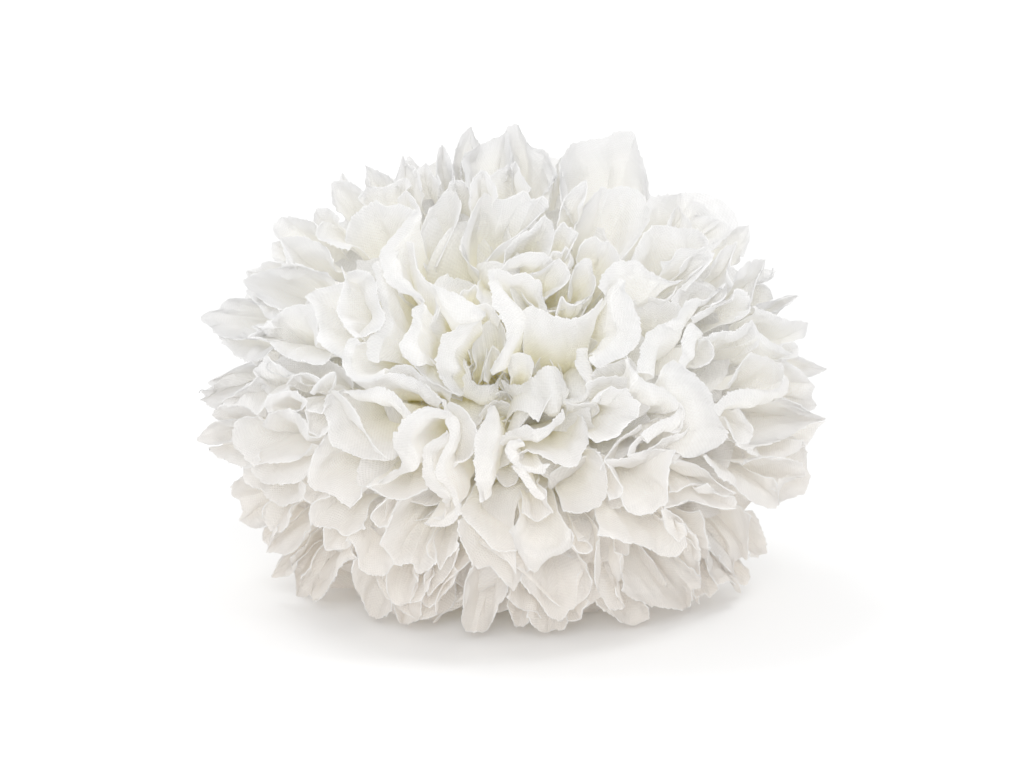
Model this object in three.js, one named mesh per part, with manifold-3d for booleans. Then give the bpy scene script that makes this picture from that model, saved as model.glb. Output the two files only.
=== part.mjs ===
// A white cloth dahlia head, lying on its lower petals with its face turned to the front.
// Units are millimetres, +Z is up, -Y is the front, and the surface it lies on is z = 0.
import * as THREE from "three";
import { mergeVertices } from "three/addons/utils/BufferGeometryUtils.js";
import Module from "manifold-3d";

const wasm = await Module();
wasm.setup();

const DEGREE = Math.PI / 180;
const GOLDEN_ANGLE = Math.PI * (3 - Math.sqrt(5));

// The head: the height of its middle, and which way its face looks.
const MIDDLE_HEIGHT = 41;
const FACE_TILT = 17 * DEGREE;
const FACE_YAW = -10 * DEGREE;

// The petals: how many, the angles from the face axis at which the first and last one stand, how far
// from the middle their roots are, and how thick their cloth is modelled.
const PETALS = 146;
const FIRST_ANGLE = 6 * DEGREE;
const LAST_ANGLE = 150 * DEGREE;
const ROOT_RADIUS = 18;
const CLOTH_THICKNESS = 0.64;

// A petal's outline: where up its length it is widest, and its root's share of that width.
const WIDEST_AT = 0.82;
const ROOT_WIDTH_SHARE = 0.24;

// Against the angle from the face axis in degrees: how far the tips reach, how wide the petals are, and
// how much they curl outwards, cup and ruffle.
const REACH = [[0, 43], [12, 49], [25, 56], [40, 60], [60, 63], [90, 65], [115, 63], [135, 54], [155, 44]];
const WIDTH = [[0, 11], [15, 16], [35, 22], [60, 24], [90, 24], [150, 21]];
const CURL = [[0, 0.1], [25, 0.45], [60, 0.6], [90, 0.5], [150, 0.4]];
const CUP = [[0, 0.6], [40, 0.35], [90, 0.2], [150, 0.1]];
const RUFFLE = [[0, 1.2], [50, 1.2], [90, 0.9], [150, 0.7]];
const TOP_SETTLING = 0.15;

// How far the seeded draw varies each petal to both sides of what the rule gives it: its turn and angle in
// radians, its reach and width as shares, and its bend, curl, cup, peak and the phase of its folds.
const VARIED = {
  turn: 0.1, angle: 0.05, reach: 0.05, width: 0.16, roll: 10 * DEGREE, bend: 0.08, curl: 0.12, cup: 0.2,
  peak: 0.55, phase: 0.7,
};

// What is alike in neighbours and changes slowly over the head: how much they roll, curl and share the
// phase of their folds, read this far from the middle.
const SHARED = { distance: 55, roll: 24 * DEGREE, curl: 0.35, phase: 2.4 };
const LEAST_CURL = -0.35;
const MEAN_BEND = 0.3;

// A petal that would reach below the surface keeps this share of what it has too much.
const KEPT_BELOW = 0.3;

// A petal's end: where it is without its peak, how round its corners are and how sharp its peak is. Its
// folds start at one share of the way up it and are full after another.
const END_AT = 0.97;
const END_ROUNDING = 2.6;
const PEAK_SHARPNESS = 1.6;
const FOLDS_FROM = 0.16;
const FOLDS_OVER = 0.8;
const FOLDS_EASE = 1.3;
const FLUTTER = { size: 0.5, up: 2.8 * Math.PI, across: 2.2 };

// How far neighbouring petals are pushed together: away from the axis, round it and outwards, in full at
// a distance of full + start from the middle and not at all within the start.
const PUSHED = { start: 14, full: 40, most: 1.2, away: 3.4, round: 3.0, out: 1.5 };

// The packed middle that the petals stand out of, as a share of the way to their tips.
const CORE_SHARE = 0.5;
const CORE_DETAIL = 3;

// The calyx and the cut stem behind the head, as [radius, distance behind the middle] from the face of
// the cup round its rim to the end of the stem. The sepals are rows of [radius, half width] that start this
// far behind the middle, slope this much further back and droop by this much at their sides.
const CALYX_OUTLINE = [[0, 30], [8, 30], [12.5, 33], [13, 35.5], [10, 39], [6, 42], [3.4, 45], [2.9, 48],
  [2.9, 59], [2.4, 60], [0, 60]];
const CALYX_SIDES = 20;
const SEPALS = 8;
const SEPAL_THICKNESS = 0.9;
const SEPAL_ROWS = [[8, 3], [13, 5], [18, 4.8], [22.5, 2.8], [26, 0.5]];
const SEPAL_SLOPE = 0.5;
const SEPAL_START = 36;
const SEPAL_DROOP = 0.6;

// The room that the bloom leaves for the calyx: the gap all round it, how far past the sepals' ends it
// goes, and how far behind the middle it ends, clear of everything.
const SEAT_GAP = 0.3;
const ROOM_MARGIN = 2;
const ROOM_END = 90;

// The neck of the packed middle, which the calyx is seated on.
const NECK_OUTLINE = [[0, 10], [10, 10], [10, 34], [0, 34]];

// Cloth that would go below this height lies on the surface, bent softly over the next millimetres.
const LYING_HEIGHT = -0.15;
const BEND_HEIGHT = 3;

// A value read off a line of [where, value] points, straight between them and level past its ends.
function along(points, where) {
  for (let i = 1; i < points.length; i++) {
    const [x0, y0] = points[i - 1];
    const [x1, y1] = points[i];
    if (where <= x1) return y0 + ((y1 - y0) * Math.max(0, where - x0)) / (x1 - x0);
  }
  return points.at(-1)[1];
}

const within = (value, low, high) => Math.min(high, Math.max(low, value));

// A repeatable draw of numbers from 0 to 1.
class Draw {
  constructor(seed) {
    this.state = seed;
  }
  next() {
    this.state = (this.state * 16807) % 2147483647;
    return this.state / 2147483647;
  }
  spread(size) {
    return (this.next() * 2 - 1) * size;
  }
  bell(size) {
    return ((this.next() + this.next() + this.next() - 1.5) / 1.5) * size;
  }
}

// A smooth wavy field in space: plane waves about one length, in directions of their own.
class Field {
  constructor(seed, count, length) {
    const draw = new Draw(seed);
    this.waves = Array.from({ length: count }, () => {
      const rise = draw.spread(1);
      const turn = draw.next() * 2 * Math.PI;
      const level = Math.sqrt(1 - rise * rise);
      const rate = (2 * Math.PI) / (length * (0.8 + 0.5 * draw.next()));
      const way = new THREE.Vector3(level * Math.cos(turn), level * Math.sin(turn), rise);
      return { way: way.multiplyScalar(rate), start: draw.next() * 2 * Math.PI };
    });
  }
  at(point) {
    const sum = this.waves.reduce((total, wave) => total + Math.sin(wave.way.dot(point) + wave.start), 0);
    return sum / Math.sqrt(this.waves.length);
  }
}

const PRESS = new Field(11, 8, 23);
const SLIDE = new Field(29, 7, 26);
const STRETCH = new Field(53, 7, 34);
const LEAN = new Field(71, 6, 55);
const PHASE = new Field(97, 6, 45);
const CURLING = new Field(131, 6, 50);

// The head's own directions: out of its face, to its right, and to its crown.
const FACE = new THREE.Vector3(
  Math.sin(FACE_YAW) * Math.cos(FACE_TILT),
  -Math.cos(FACE_YAW) * Math.cos(FACE_TILT),
  Math.sin(FACE_TILT),
);
const RIGHT = new THREE.Vector3(Math.cos(FACE_YAW), Math.sin(FACE_YAW), 0);
const CROWN = new THREE.Vector3().crossVectors(RIGHT, FACE);
if (CROWN.z < 0) CROWN.negate();

// At an angle from the face axis and a turn round it: the direction out from the middle, the one away
// from the axis, and the one round it.
const rim = (turn) => RIGHT.clone().multiplyScalar(Math.cos(turn)).addScaledVector(CROWN, Math.sin(turn));
const round = (turn) => RIGHT.clone().multiplyScalar(-Math.sin(turn)).addScaledVector(CROWN, Math.cos(turn));
const out = (angle, turn) =>
  rim(turn).multiplyScalar(Math.sin(angle)).addScaledVector(FACE, Math.cos(angle));
const away = (angle, turn) =>
  rim(turn).multiplyScalar(Math.cos(angle)).addScaledVector(FACE, -Math.sin(angle));

function reach(angle, turn) {
  const up = Math.max(0, Math.sin(angle) * Math.sin(turn));
  return along(REACH, angle / DEGREE) * (1 - TOP_SETTLING * up * up);
}

// Each petal's own place and shape, by the golden angle and a seeded draw.
function petalShapes() {
  const draw = new Draw(7);
  const first = Math.cos(FIRST_ANGLE);
  const last = Math.cos(LAST_ANGLE);
  return Array.from({ length: PETALS }, (_, i) => {
    const even = Math.acos(first + ((last - first) * (i + 0.5)) / PETALS);
    const turn = i * GOLDEN_ANGLE + draw.spread(VARIED.turn);
    const angle = even + draw.spread(VARIED.angle);
    const way = out(angle, turn);
    let tip = reach(even, turn) * (1 + draw.spread(VARIED.reach));
    const room = way.z < 0 ? (MIDDLE_HEIGHT - 1) / -way.z : tip;
    if (room < tip) tip = room + KEPT_BELOW * (tip - room);
    const from = even / DEGREE;
    const spot = way.clone().multiplyScalar(SHARED.distance);
    const curl = along(CURL, from) + SHARED.curl * CURLING.at(spot);
    return {
      angle,
      turn,
      tip,
      halfWidth: (along(WIDTH, from) * (1 + draw.spread(VARIED.width))) / 2,
      roll: draw.bell(VARIED.roll) + SHARED.roll * LEAN.at(spot),
      bend: MEAN_BEND + draw.spread(VARIED.bend),
      curl: Math.max(LEAST_CURL, curl + draw.spread(VARIED.curl)),
      cup: draw.spread(VARIED.cup) + along(CUP, from),
      roundness: 0.05 + 0.14 * draw.next(),
      point: 0.03 + 0.13 * draw.next(),
      peak: draw.spread(VARIED.peak),
      corner: 0.74 + 0.26 * draw.next(),
      phase: SHARED.phase * PHASE.at(spot) + draw.spread(VARIED.phase),
      edgePhase: draw.next() * 2 * Math.PI,
      ruffle: (0.45 + 0.65 * draw.next()) * along(RUFFLE, from),
      drift: 0.5 + 2 * draw.next(),
      folds: 1 + 0.8 * draw.next(),
    };
  });
}

// The midrib's slant away from the direction of its root, at a share of the way to its tip.
function slant(shape, share) {
  return -0.1 + shape.bend * share + shape.curl * within(share * 2 - 0.9, 0, 1.1) ** 2;
}

// The midrib in its own plane, as points [out, aside] from the head's middle. It is as long as it must
// be for its tip to reach as far as it should.
const MIDRIB_STEPS = 48;
function midrib(shape) {
  const steps = [[0, 0]];
  for (let i = 0; i < MIDRIB_STEPS; i++) {
    const lean = slant(shape, (i + 0.5) / MIDRIB_STEPS);
    const [x, y] = steps.at(-1);
    steps.push([x + Math.cos(lean) / MIDRIB_STEPS, y + Math.sin(lean) / MIDRIB_STEPS]);
  }
  const [x, y] = steps.at(-1);
  const square = x * x + y * y;
  const half = ROOT_RADIUS * x;
  const length = (Math.sqrt(half * half - square * (ROOT_RADIUS ** 2 - shape.tip ** 2)) - half) / square;
  const points = steps.map(([a, b]) => [ROOT_RADIUS + length * a, length * b]);
  const rootAngle = shape.angle - Math.atan2(points.at(-1)[1], points.at(-1)[0]);
  return { points, rootAngle };
}

// A point of a petal's middle surface: across from -1 to 1, up from 0 at the root to 1 at the end.
const CROSS_STEPS = 10;
function petalPoint(shape, rib, across, up) {
  const widening = within(up / WIDEST_AT, 0, 1);
  const closing = within((up - WIDEST_AT) / (1 - WIDEST_AT), 0, 1);
  const opened = ROOT_WIDTH_SHARE + (1 - ROOT_WIDTH_SHARE) * widening * widening * (3 - 2 * widening);
  const width = opened * (1 - (1 - shape.corner) * closing * closing);
  const fromPeak = Math.abs(across - shape.peak) / (1 + Math.abs(shape.peak));
  const peak = shape.point * within(1 - fromPeak, 0, 1) ** PEAK_SHARPNESS;
  const end = END_AT - shape.roundness * Math.abs(across) ** END_ROUNDING + peak;
  const share = up * (1 + (end - 1) * up ** 3);
  const rise = within((share - FOLDS_FROM) / FOLDS_OVER, 0, 1) ** FOLDS_EASE;

  // Across, the petal is a folded line of true width, followed from the midrib outwards.
  const step = (across * width * shape.halfWidth) / CROSS_STEPS;
  let aside = 0;
  let deep = 0;
  for (let i = 0; i < CROSS_STEPS; i++) {
    const s = (across * width * (i + 0.5)) / CROSS_STEPS;
    const fold = shape.ruffle * Math.sin(Math.PI * shape.folds * s + shape.phase + shape.drift * share);
    const wave = Math.sin(FLUTTER.up * share + shape.edgePhase + FLUTTER.across * s);
    const flutter = FLUTTER.size * wave * Math.abs(s);
    const lean = shape.cup * s + rise * (fold + flutter) + shape.roll * share;
    aside += Math.cos(lean) * step;
    deep += Math.sin(lean) * step;
  }

  const place = share * MIDRIB_STEPS;
  const i = Math.floor(within(place, 0, MIDRIB_STEPS - 1));
  const [x, y] = rib.points[i].map((value, axis) => value + (rib.points[i + 1][axis] - value) * (place - i));
  const angle = rib.rootAngle + slant(shape, within(share, 0, 1));
  const point = out(rib.rootAngle, shape.turn).multiplyScalar(x);
  point.addScaledVector(away(rib.rootAngle, shape.turn), y);
  point.addScaledVector(round(shape.turn), aside);
  point.addScaledVector(away(angle, shape.turn), -deep);
  return pressed(point, shape.turn);
}

// Neighbouring petals are pressed into waves together, and what meets the surface lies on it.
function pressed(point, turn) {
  const give = within((point.length() - PUSHED.start) / PUSHED.full, 0, PUSHED.most);
  const way = point.clone().normalize();
  const angle = Math.acos(within(way.dot(FACE), -1, 1));
  const press = PUSHED.away * give * PRESS.at(point);
  const slide = PUSHED.round * give * SLIDE.at(point);
  const stretch = PUSHED.out * give * STRETCH.at(point);
  point.addScaledVector(away(angle, turn), press).addScaledVector(round(turn), slide);
  point.addScaledVector(way, stretch);
  point.z += MIDDLE_HEIGHT;
  const bend = LYING_HEIGHT + BEND_HEIGHT;
  if (point.z < bend) point.z = LYING_HEIGHT + BEND_HEIGHT * Math.exp((point.z - bend) / BEND_HEIGHT);
  return point;
}

// The rows of points up a petal: where each row is, and how many points it has.
const ROWS = [[0.22, 2], [0.62, 3], [1, 4]];

// The triangles between two rows that have different numbers of points.
function strip(lower, upper) {
  const triangles = [];
  let i = 0;
  let j = 0;
  while (i < lower.length - 1 || j < upper.length - 1) {
    const lowerNext = (i + 1) / (lower.length - 1);
    const upperNext = (j + 1) / (upper.length - 1);
    if (j === upper.length - 1 || lowerNext < upperNext) {
      triangles.push([lower[i], lower[i + 1], upper[j]]);
      i++;
    } else {
      triangles.push([lower[i], upper[j + 1], upper[j]]);
      j++;
    }
  }
  return triangles;
}

// A leaf as a thin closed solid round its middle surface, given as rows of points from root to end. Both
// its faces have the same triangles, and a band closes its rim.
function leafSolid(rowsOfPoints, thickness) {
  const middle = rowsOfPoints.flat();
  let used = 0;
  const rows = rowsOfPoints.map((row) => row.map(() => used++));
  const face = rows.slice(1).flatMap((row, i) => strip(rows[i], row));
  const normals = middle.map(() => new THREE.Vector3());
  for (const corners of face) {
    const [a, b, c] = corners.map((corner) => middle[corner]);
    const normal = b.clone().sub(a).cross(c.clone().sub(a)).normalize();
    for (const corner of corners) normals[corner].add(normal);
  }
  normals.forEach((normal) => normal.setLength(thickness / 2));
  const front = middle.map((point, i) => point.clone().add(normals[i]));
  const back = middle.map((point, i) => point.clone().sub(normals[i]));
  const left = rows.slice(1, -1).map((row) => row[0]);
  const right = rows.slice(1, -1).map((row) => row.at(-1));
  const edge = [...rows[0], ...right, ...rows.at(-1).slice().reverse(), ...left.reverse()];
  const triangles = face.flatMap(([a, b, c]) => [[a, b, c], [a + used, c + used, b + used]]);
  edge.forEach((a, i) => {
    const b = edge[(i + 1) % edge.length];
    triangles.push([a, a + used, b + used], [a, b + used, b]);
  });
  return solidOf([...front, ...back], triangles);
}

function petalSolid(shape) {
  const rib = midrib(shape);
  const rows = ROWS.map(([up, count]) =>
    Array.from({ length: count }, (_, i) => petalPoint(shape, rib, (2 * i) / (count - 1) - 1, up)),
  );
  return leafSolid(rows, CLOTH_THICKNESS);
}

function solidOf(points, triangles) {
  const mesh = new wasm.Mesh({
    numProp: 3,
    vertProperties: new Float32Array(points.flatMap((point) => point.toArray())),
    triVerts: new Uint32Array(triangles.flat()),
  });
  return new wasm.Manifold(mesh);
}

function solidOfGeometry(geometry) {
  geometry.deleteAttribute("normal");
  geometry.deleteAttribute("uv");
  const merged = mergeVertices(geometry, 1e-3);
  const mesh = new wasm.Mesh({
    numProp: 3,
    vertProperties: merged.attributes.position.array,
    triVerts: new Uint32Array(merged.index.array),
  });
  return new wasm.Manifold(mesh);
}

function meshOf(name, solid, material) {
  const made = solid.getMesh();
  const geometry = new THREE.BufferGeometry();
  geometry.setAttribute("position", new THREE.BufferAttribute(made.vertProperties, 3));
  geometry.setIndex(new THREE.BufferAttribute(made.triVerts, 1));
  geometry.computeVertexNormals();
  const mesh = new THREE.Mesh(geometry, material);
  mesh.name = name;
  return mesh;
}

// Solids are joined two by two, so that each join is between solids of like size.
function joined(solids) {
  if (solids.length === 1) return solids[0];
  const half = Math.ceil(solids.length / 2);
  return joined(solids.slice(0, half)).add(joined(solids.slice(half)));
}

// The biggest of the bodies that a solid falls into. Scraps are dropped and sealed hollows are filled.
function biggestBody(solid) {
  return solid.decompose().sort((a, b) => b.volume() - a.volume())[0];
}

// The packed middle of the head, which follows the reach of the petals.
function coreSolid() {
  const geometry = new THREE.IcosahedronGeometry(1, CORE_DETAIL);
  const position = geometry.getAttribute("position");
  const point = new THREE.Vector3();
  for (let i = 0; i < position.count; i++) {
    point.fromBufferAttribute(position, i).normalize();
    const angle = Math.acos(within(point.dot(FACE), -1, 1));
    const turn = Math.atan2(point.dot(CROWN), point.dot(RIGHT));
    point.multiplyScalar(reach(angle, turn) * CORE_SHARE);
    position.setXYZ(i, point.x, point.y, point.z + MIDDLE_HEIGHT);
  }
  return solidOfGeometry(geometry);
}

// A solid of revolution round the line that runs back from the middle of the head.
function turnedSolid(outline, sides) {
  const points = outline.map(([radius, back]) => new THREE.Vector2(radius, back));
  const geometry = new THREE.LatheGeometry(points, sides);
  const back = FACE.clone().negate();
  const place = new THREE.Matrix4().makeBasis(CROWN, back, new THREE.Vector3().crossVectors(CROWN, back));
  place.setPosition(0, 0, MIDDLE_HEIGHT);
  return solidOfGeometry(geometry.applyMatrix4(place));
}

// One sepal: a pointed leaf from the side of the cup, lying along the backs of the petals.
function sepalSolid(turn) {
  const rows = SEPAL_ROWS.map(([radius, halfWidth]) =>
    [-1, 0, 1].map((across) => {
      const slope = (radius - SEPAL_ROWS[0][0]) * SEPAL_SLOPE;
      const back = SEPAL_START + slope + SEPAL_DROOP * Math.abs(across);
      const point = rim(turn).multiplyScalar(radius).addScaledVector(FACE, -back);
      point.addScaledVector(round(turn), across * halfWidth);
      point.z += MIDDLE_HEIGHT;
      return point;
    }),
  );
  return leafSolid(rows, SEPAL_THICKNESS);
}

// The solid cut out of the bloom to leave room for the calyx. It goes on to behind everything, so that no
// petal closes the calyx in.
function calyxRoom() {
  const [startRadius] = SEPAL_ROWS[0];
  const [endRadius] = SEPAL_ROWS.at(-1);
  const front = SEAT_GAP + SEPAL_THICKNESS;
  const side = endRadius + ROOM_MARGIN;
  const [[, faceBack], [faceRadius], [rimRadius, rimBack]] = CALYX_OUTLINE;
  const room = rimRadius + 2 * SEAT_GAP;
  const outline = [
    [0, faceBack - SEAT_GAP],
    [faceRadius + SEAT_GAP, faceBack - SEAT_GAP],
    [room, rimBack - SEAT_GAP],
    [room, SEPAL_START + (rimRadius - startRadius) * SEPAL_SLOPE - front],
    [side, SEPAL_START + (side - startRadius) * SEPAL_SLOPE - front],
    [side, ROOM_END],
    [0, ROOM_END],
  ];
  return turnedSolid(outline, CALYX_SIDES);
}

const below = solidOfGeometry(new THREE.BoxGeometry(400, 400, 20).translate(0, 0, -10));
const neck = turnedSolid(NECK_OUTLINE, CALYX_SIDES);
const petals = joined([coreSolid(), neck, ...petalShapes().map(petalSolid)]);
const bloom = biggestBody(petals.subtract(below).subtract(calyxRoom()));

const sepals = Array.from({ length: SEPALS }, (_, i) => sepalSolid((2 * Math.PI * i) / SEPALS));
const calyx = joined([turnedSolid(CALYX_OUTLINE, CALYX_SIDES), ...sepals]);

const cloth = new THREE.MeshStandardMaterial({ color: 0xf4f2ea, roughness: 0.8 });
const green = new THREE.MeshStandardMaterial({ color: 0x9aa863, roughness: 0.6 });

// The head stands with the middle of its box over the origin.
const flower = new THREE.Group();
flower.add(meshOf("bloom", bloom, cloth), meshOf("calyx", calyx, green));
const centre = new THREE.Box3().setFromObject(flower).getCenter(new THREE.Vector3());
flower.position.set(-centre.x, -centre.y, 0);
export default flower;
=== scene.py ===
import math

import bmesh
import bpy
import numpy as np
from mathutils import Matrix, Vector


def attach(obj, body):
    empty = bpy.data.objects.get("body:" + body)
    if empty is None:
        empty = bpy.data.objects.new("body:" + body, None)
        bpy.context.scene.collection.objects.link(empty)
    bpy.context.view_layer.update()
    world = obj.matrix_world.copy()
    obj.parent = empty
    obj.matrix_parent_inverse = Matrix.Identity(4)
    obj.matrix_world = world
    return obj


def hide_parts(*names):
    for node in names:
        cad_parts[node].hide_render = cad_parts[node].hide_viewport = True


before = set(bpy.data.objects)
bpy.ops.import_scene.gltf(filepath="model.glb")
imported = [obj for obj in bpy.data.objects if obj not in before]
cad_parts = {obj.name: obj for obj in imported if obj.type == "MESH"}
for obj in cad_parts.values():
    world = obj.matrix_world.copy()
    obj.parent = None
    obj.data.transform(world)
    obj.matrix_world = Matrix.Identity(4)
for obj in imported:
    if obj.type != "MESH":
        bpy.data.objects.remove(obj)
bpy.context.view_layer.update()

# A white cloth dahlia head, lying on its lower petals with its face turned to the camera.
# Lengths are in millimetres until a mesh is written, which is in metres.
MM = 0.001
DEGREE = math.pi / 180
GOLDEN_ANGLE = math.pi * (3 - math.sqrt(5))

# The head: where its middle is, from the point on the surface below the middle of the solids' box, and which
# way its face looks.
MIDDLE = np.array([0.635, 1.805, 41.0])
FACE_TILT = 17 * DEGREE
FACE_YAW = -10 * DEGREE

# The petals placed by rule: how many, the angles from the face axis at which the first and last one stand,
# and how far from the middle their roots are. Those that face the camera fill in behind the ones that the
# picture shows, so they are shorter, by a share against the cosine of their angle to the camera.
PETALS = 210
FIRST_ANGLE = 6 * DEGREE
LAST_ANGLE = 150 * DEGREE
ROOT_RADIUS = 18.0
FILLER_SHORTER = [(-0.85, 0), (-0.55, 0.05), (-0.3, 0.04), (0.05, 0.2), (0.6, 0.18), (1, 0.12)]

# All petals are cut from cloth of this thickness, joined so many to a piece, and look smooth but where they
# bend by more than this angle.
CLOTH_THICKNESS = 0.17
PETALS_A_PIECE = 48
SMOOTH_ANGLE = 50 * DEGREE

# A petal's outline: where up its length it is widest, and its root's share of that width.
WIDEST_AT = 0.82
ROOT_WIDTH_SHARE = 0.24

# Against the angle from the face axis in degrees: how far the tips reach, how wide the petals are, and
# how much they curl outwards, cup and ruffle. At the crown the tips have settled by a share of their reach.
REACH = [(0, 43), (12, 49), (25, 56), (40, 60), (60, 63), (90, 65), (115, 63), (135, 54), (155, 44)]
WIDTH = [(0, 13), (15, 18), (35, 21), (60, 22), (90, 22), (150, 20)]
CURL = [(0, 0.1), (25, 0.45), (60, 0.6), (90, 0.5), (150, 0.4)]
CUP = [(0, 0.6), (40, 0.35), (90, 0.2), (150, 0.1)]
RUFFLE = [(0, 1.2), (50, 1.2), (90, 0.9), (150, 0.7)]
TOP_SETTLING = 0.17

# The seeds of the draws for the petals placed by rule and for those that the picture shows.
FILLER_SEED = 7
SEEN_SEED = 19

# How much each petal placed by rule differs in place and shape, by chance and together with its neighbours.
# Tips, widths, peaks and lip waves are shares, and the rest are radians. What neighbours share is read off
# wavy fields at this distance from the middle.
BY_CHANCE = {"turn": 0.1, "angle": 0.05, "tip": 0.05, "width": 0.16, "roll": 12 * DEGREE, "bend": 0.12,
             "curl": 0.2, "cup": 0.3, "peak": 0.45, "phase": 0.8, "lip": 1.1, "lip_wave": 0.8}
TOGETHER = {"roll": 24 * DEGREE, "curl": 0.35, "phase": 2.4}
TOGETHER_RADIUS = 55

# What is drawn between two values: how round a petal's end is, how far its point stands out, how wide it is
# at its corners, how strong its ruffles are, how they drift up it, how many they are, and how long its lip
# is.
ROUNDNESS = (0.1, 0.24)
POINT = (0.05, 0.17)
CORNER = (0.6, 0.88)
RUFFLE_STRENGTH = (0.45, 1.15)
DRIFT = (0.5, 2.5)
FOLDS = (1, 1.8)
LIP_SHARE = (0.1, 0.22)

# The midrib: its slant at the root, its even bend, and its curl, which starts at one share of its length and
# grows over another. It and the section across a petal are followed in so many steps.
ROOT_SLANT = -0.1
BEND = 0.3
LEAST_CURL = -0.35
CURL_FROM = 0.45
CURL_OVER = 0.5
CURL_MOST = 1.1
MIDRIB_STEPS = 48
CROSS_STEPS = 10

# The lip at a petal's end: how far it turns over, how often it does so outwards, by what share it does
# inwards, the wave in where it starts, as a size and a rate, and the rate of the wave in how far it turns.
LIP_TURN = 0.55
LIP_OUTWARDS = 0.8
LIP_INWARDS = -0.7
LIP_START_WAVE = (0.3, 3)
LIP_TURN_RATE = 2.6
LEAST_BENDING = 1e-3

# A petal whose direction falls by more than this has room down to this height above the surface below, and
# keeps this share of what would reach past it.
POINTS_DOWN = -0.05
ROOM_BELOW = 1
KEPT_BELOW = 0.3

# Where a petal's end is without its point, as a share of its length, and how uneven its sides and its end
# are: the size, how many waves and the rate of the slowest. Each wave's own rate is drawn, and each is
# lower.
END_SHARE = 0.97
SIDE_CUTS = (0.02, 6, 1.5)
END_CUTS = (0.008, 7, 0.8)
CUT_RATES = (0.8, 1.2)
CUT_FALL = 0.8

# Both sides start from this place on their waves and go opposite ways. Their cuts grow out from the midrib
# by a power, and up from the root at a rate. The point falls off to its sides, and the end to its corners,
# by the other two powers.
SIDES_START = 1.5
SIDE_POWER = 4
SIDE_GROWTH = 1.5
POINT_POWER = 1.6
CORNER_POWER = 2.4

# Ruffles grow over this stretch of a petal, by this power. The flutter of its sides is a wave up it that
# drifts across it.
RUFFLED_FROM = 0.16
RUFFLED_OVER = 0.8
RUFFLED_POWER = 1.3
FLUTTER = 0.5
FLUTTER_WAVES = 1.4
FLUTTER_DRIFT = 2.2

# The crumpling of the cloth, and the crease along its midrib: how deep, how broad and how far up it goes.
FILLER_CRUMPLE = 0.22
RIB_DEPTH = 0.35
RIB_BREADTH = 0.9
RIB_TO = 1.1

# How far neighbouring petals are pushed together, away from the face axis, round it and outwards, and the
# distances from the middle over which the push grows.
PRESSED_AWAY = 3.4
PRESSED_ROUND = 3.0
PRESSED_OUT = 1.5
PRESSED_FROM = 14
PRESSED_OVER = 40
PRESSED_MOST = 1.2

# The calyx and the cut stem behind the head, as (radius, distance behind the middle) from the face of the
# cup round its rim to the end of the stem. The sepals are rows of (radius, half width) that start this far
# behind the middle, slope this much further back and droop by this much at their sides.
CALYX_OUTLINE = [
    (0, 30), (8, 30), (12.5, 33), (13, 35.5), (10, 39), (6, 42),
    (3.4, 45), (2.9, 48), (2.9, 59), (2.4, 60), (0, 60),
]
OUTLINE_STEPS = 3
CALYX_STEPS = 64
CALYX_MERGED = 1e-6
SEPALS = 8
SEPAL_ROWS = [(8, 3), (13, 5), (18, 4.8), (22.5, 2.8), (26, 0.5)]
SEPAL_CELLS = (8, 18)
SEPAL_START = 36
SEPAL_SLOPE = 0.5
SEPAL_DROOP = 0.6
SEPAL_RIPPLE = 0.25
SEPAL_RIPPLE_RATE = 9
SEPAL_THICKNESS = 0.7

# How far in front of the sepals the petals' backs stay, and how far past the sepals' ends they do so.
SEPAL_CLEARANCE = 1.2
SEPAL_MARGIN = 2

# The middle that the petals stand out of, as a share of the way to their tips, and how uneven it is, read off
# a field at this radius. It is shaped from a ball of triangles of this fineness. Its neck runs back into the
# cup, from one distance behind the head's middle to another.
CORE_SHARE = 0.56
CORE_UNEVEN = 0.04
CORE_FIELD_RADIUS = 40
CORE_SUBDIVISIONS = 5
NECK_RADIUS = 9.7
NECK_FROM = 10
NECK_TO = 29.6
NECK_SIDES = 48

# Yellow dye at the petals' roots. It starts at this share of the way out to the petals' tips and is full
# this much further in. Against angles from the face axis in degrees: how far out the tips are, and the dye's
# strength.
DYE_FROM = 0.99
DYE_OVER = 0.22
DYE_REACH = ((0, 15, 40, 90, 155), (53, 53, 54, 65, 44))
DYE_FADING = ((12, 50), (1, 0.05))

# The surface below: cloth that would go lower lies on it, bent softly over the next millimetres.
LYING_HEIGHT = 0.25
BEND_HEIGHT = 3.0

# The cells of a petal's sheet across and up it and the cuts in each cell of its rim, for petals that the
# picture shows and for those placed by rule. Cells are closer towards the rim, by this power. The rim is all
# that lies past this share of the way to it, and its frayed threads stand out of it by this much at most.
SEEN_CELLS = (24, 18, 3)
FILLER_CELLS = (14, 13, 2)
CLOSER = 1.35
AT_RIM = 0.999
FRAY = 0.3

# Each petal is cut from its own square of the cloth, of this side, in rows of so many. How far a point is
# from the cut rim is kept up to this distance. In the field that crumples them, petals of a kind are so far
# apart.
CUT_SQUARE = 40
CUT_ROW = 16
RIM_MEASURED = 20
SEEN_APART = 9.0
FILLER_APART = 7.0

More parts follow.
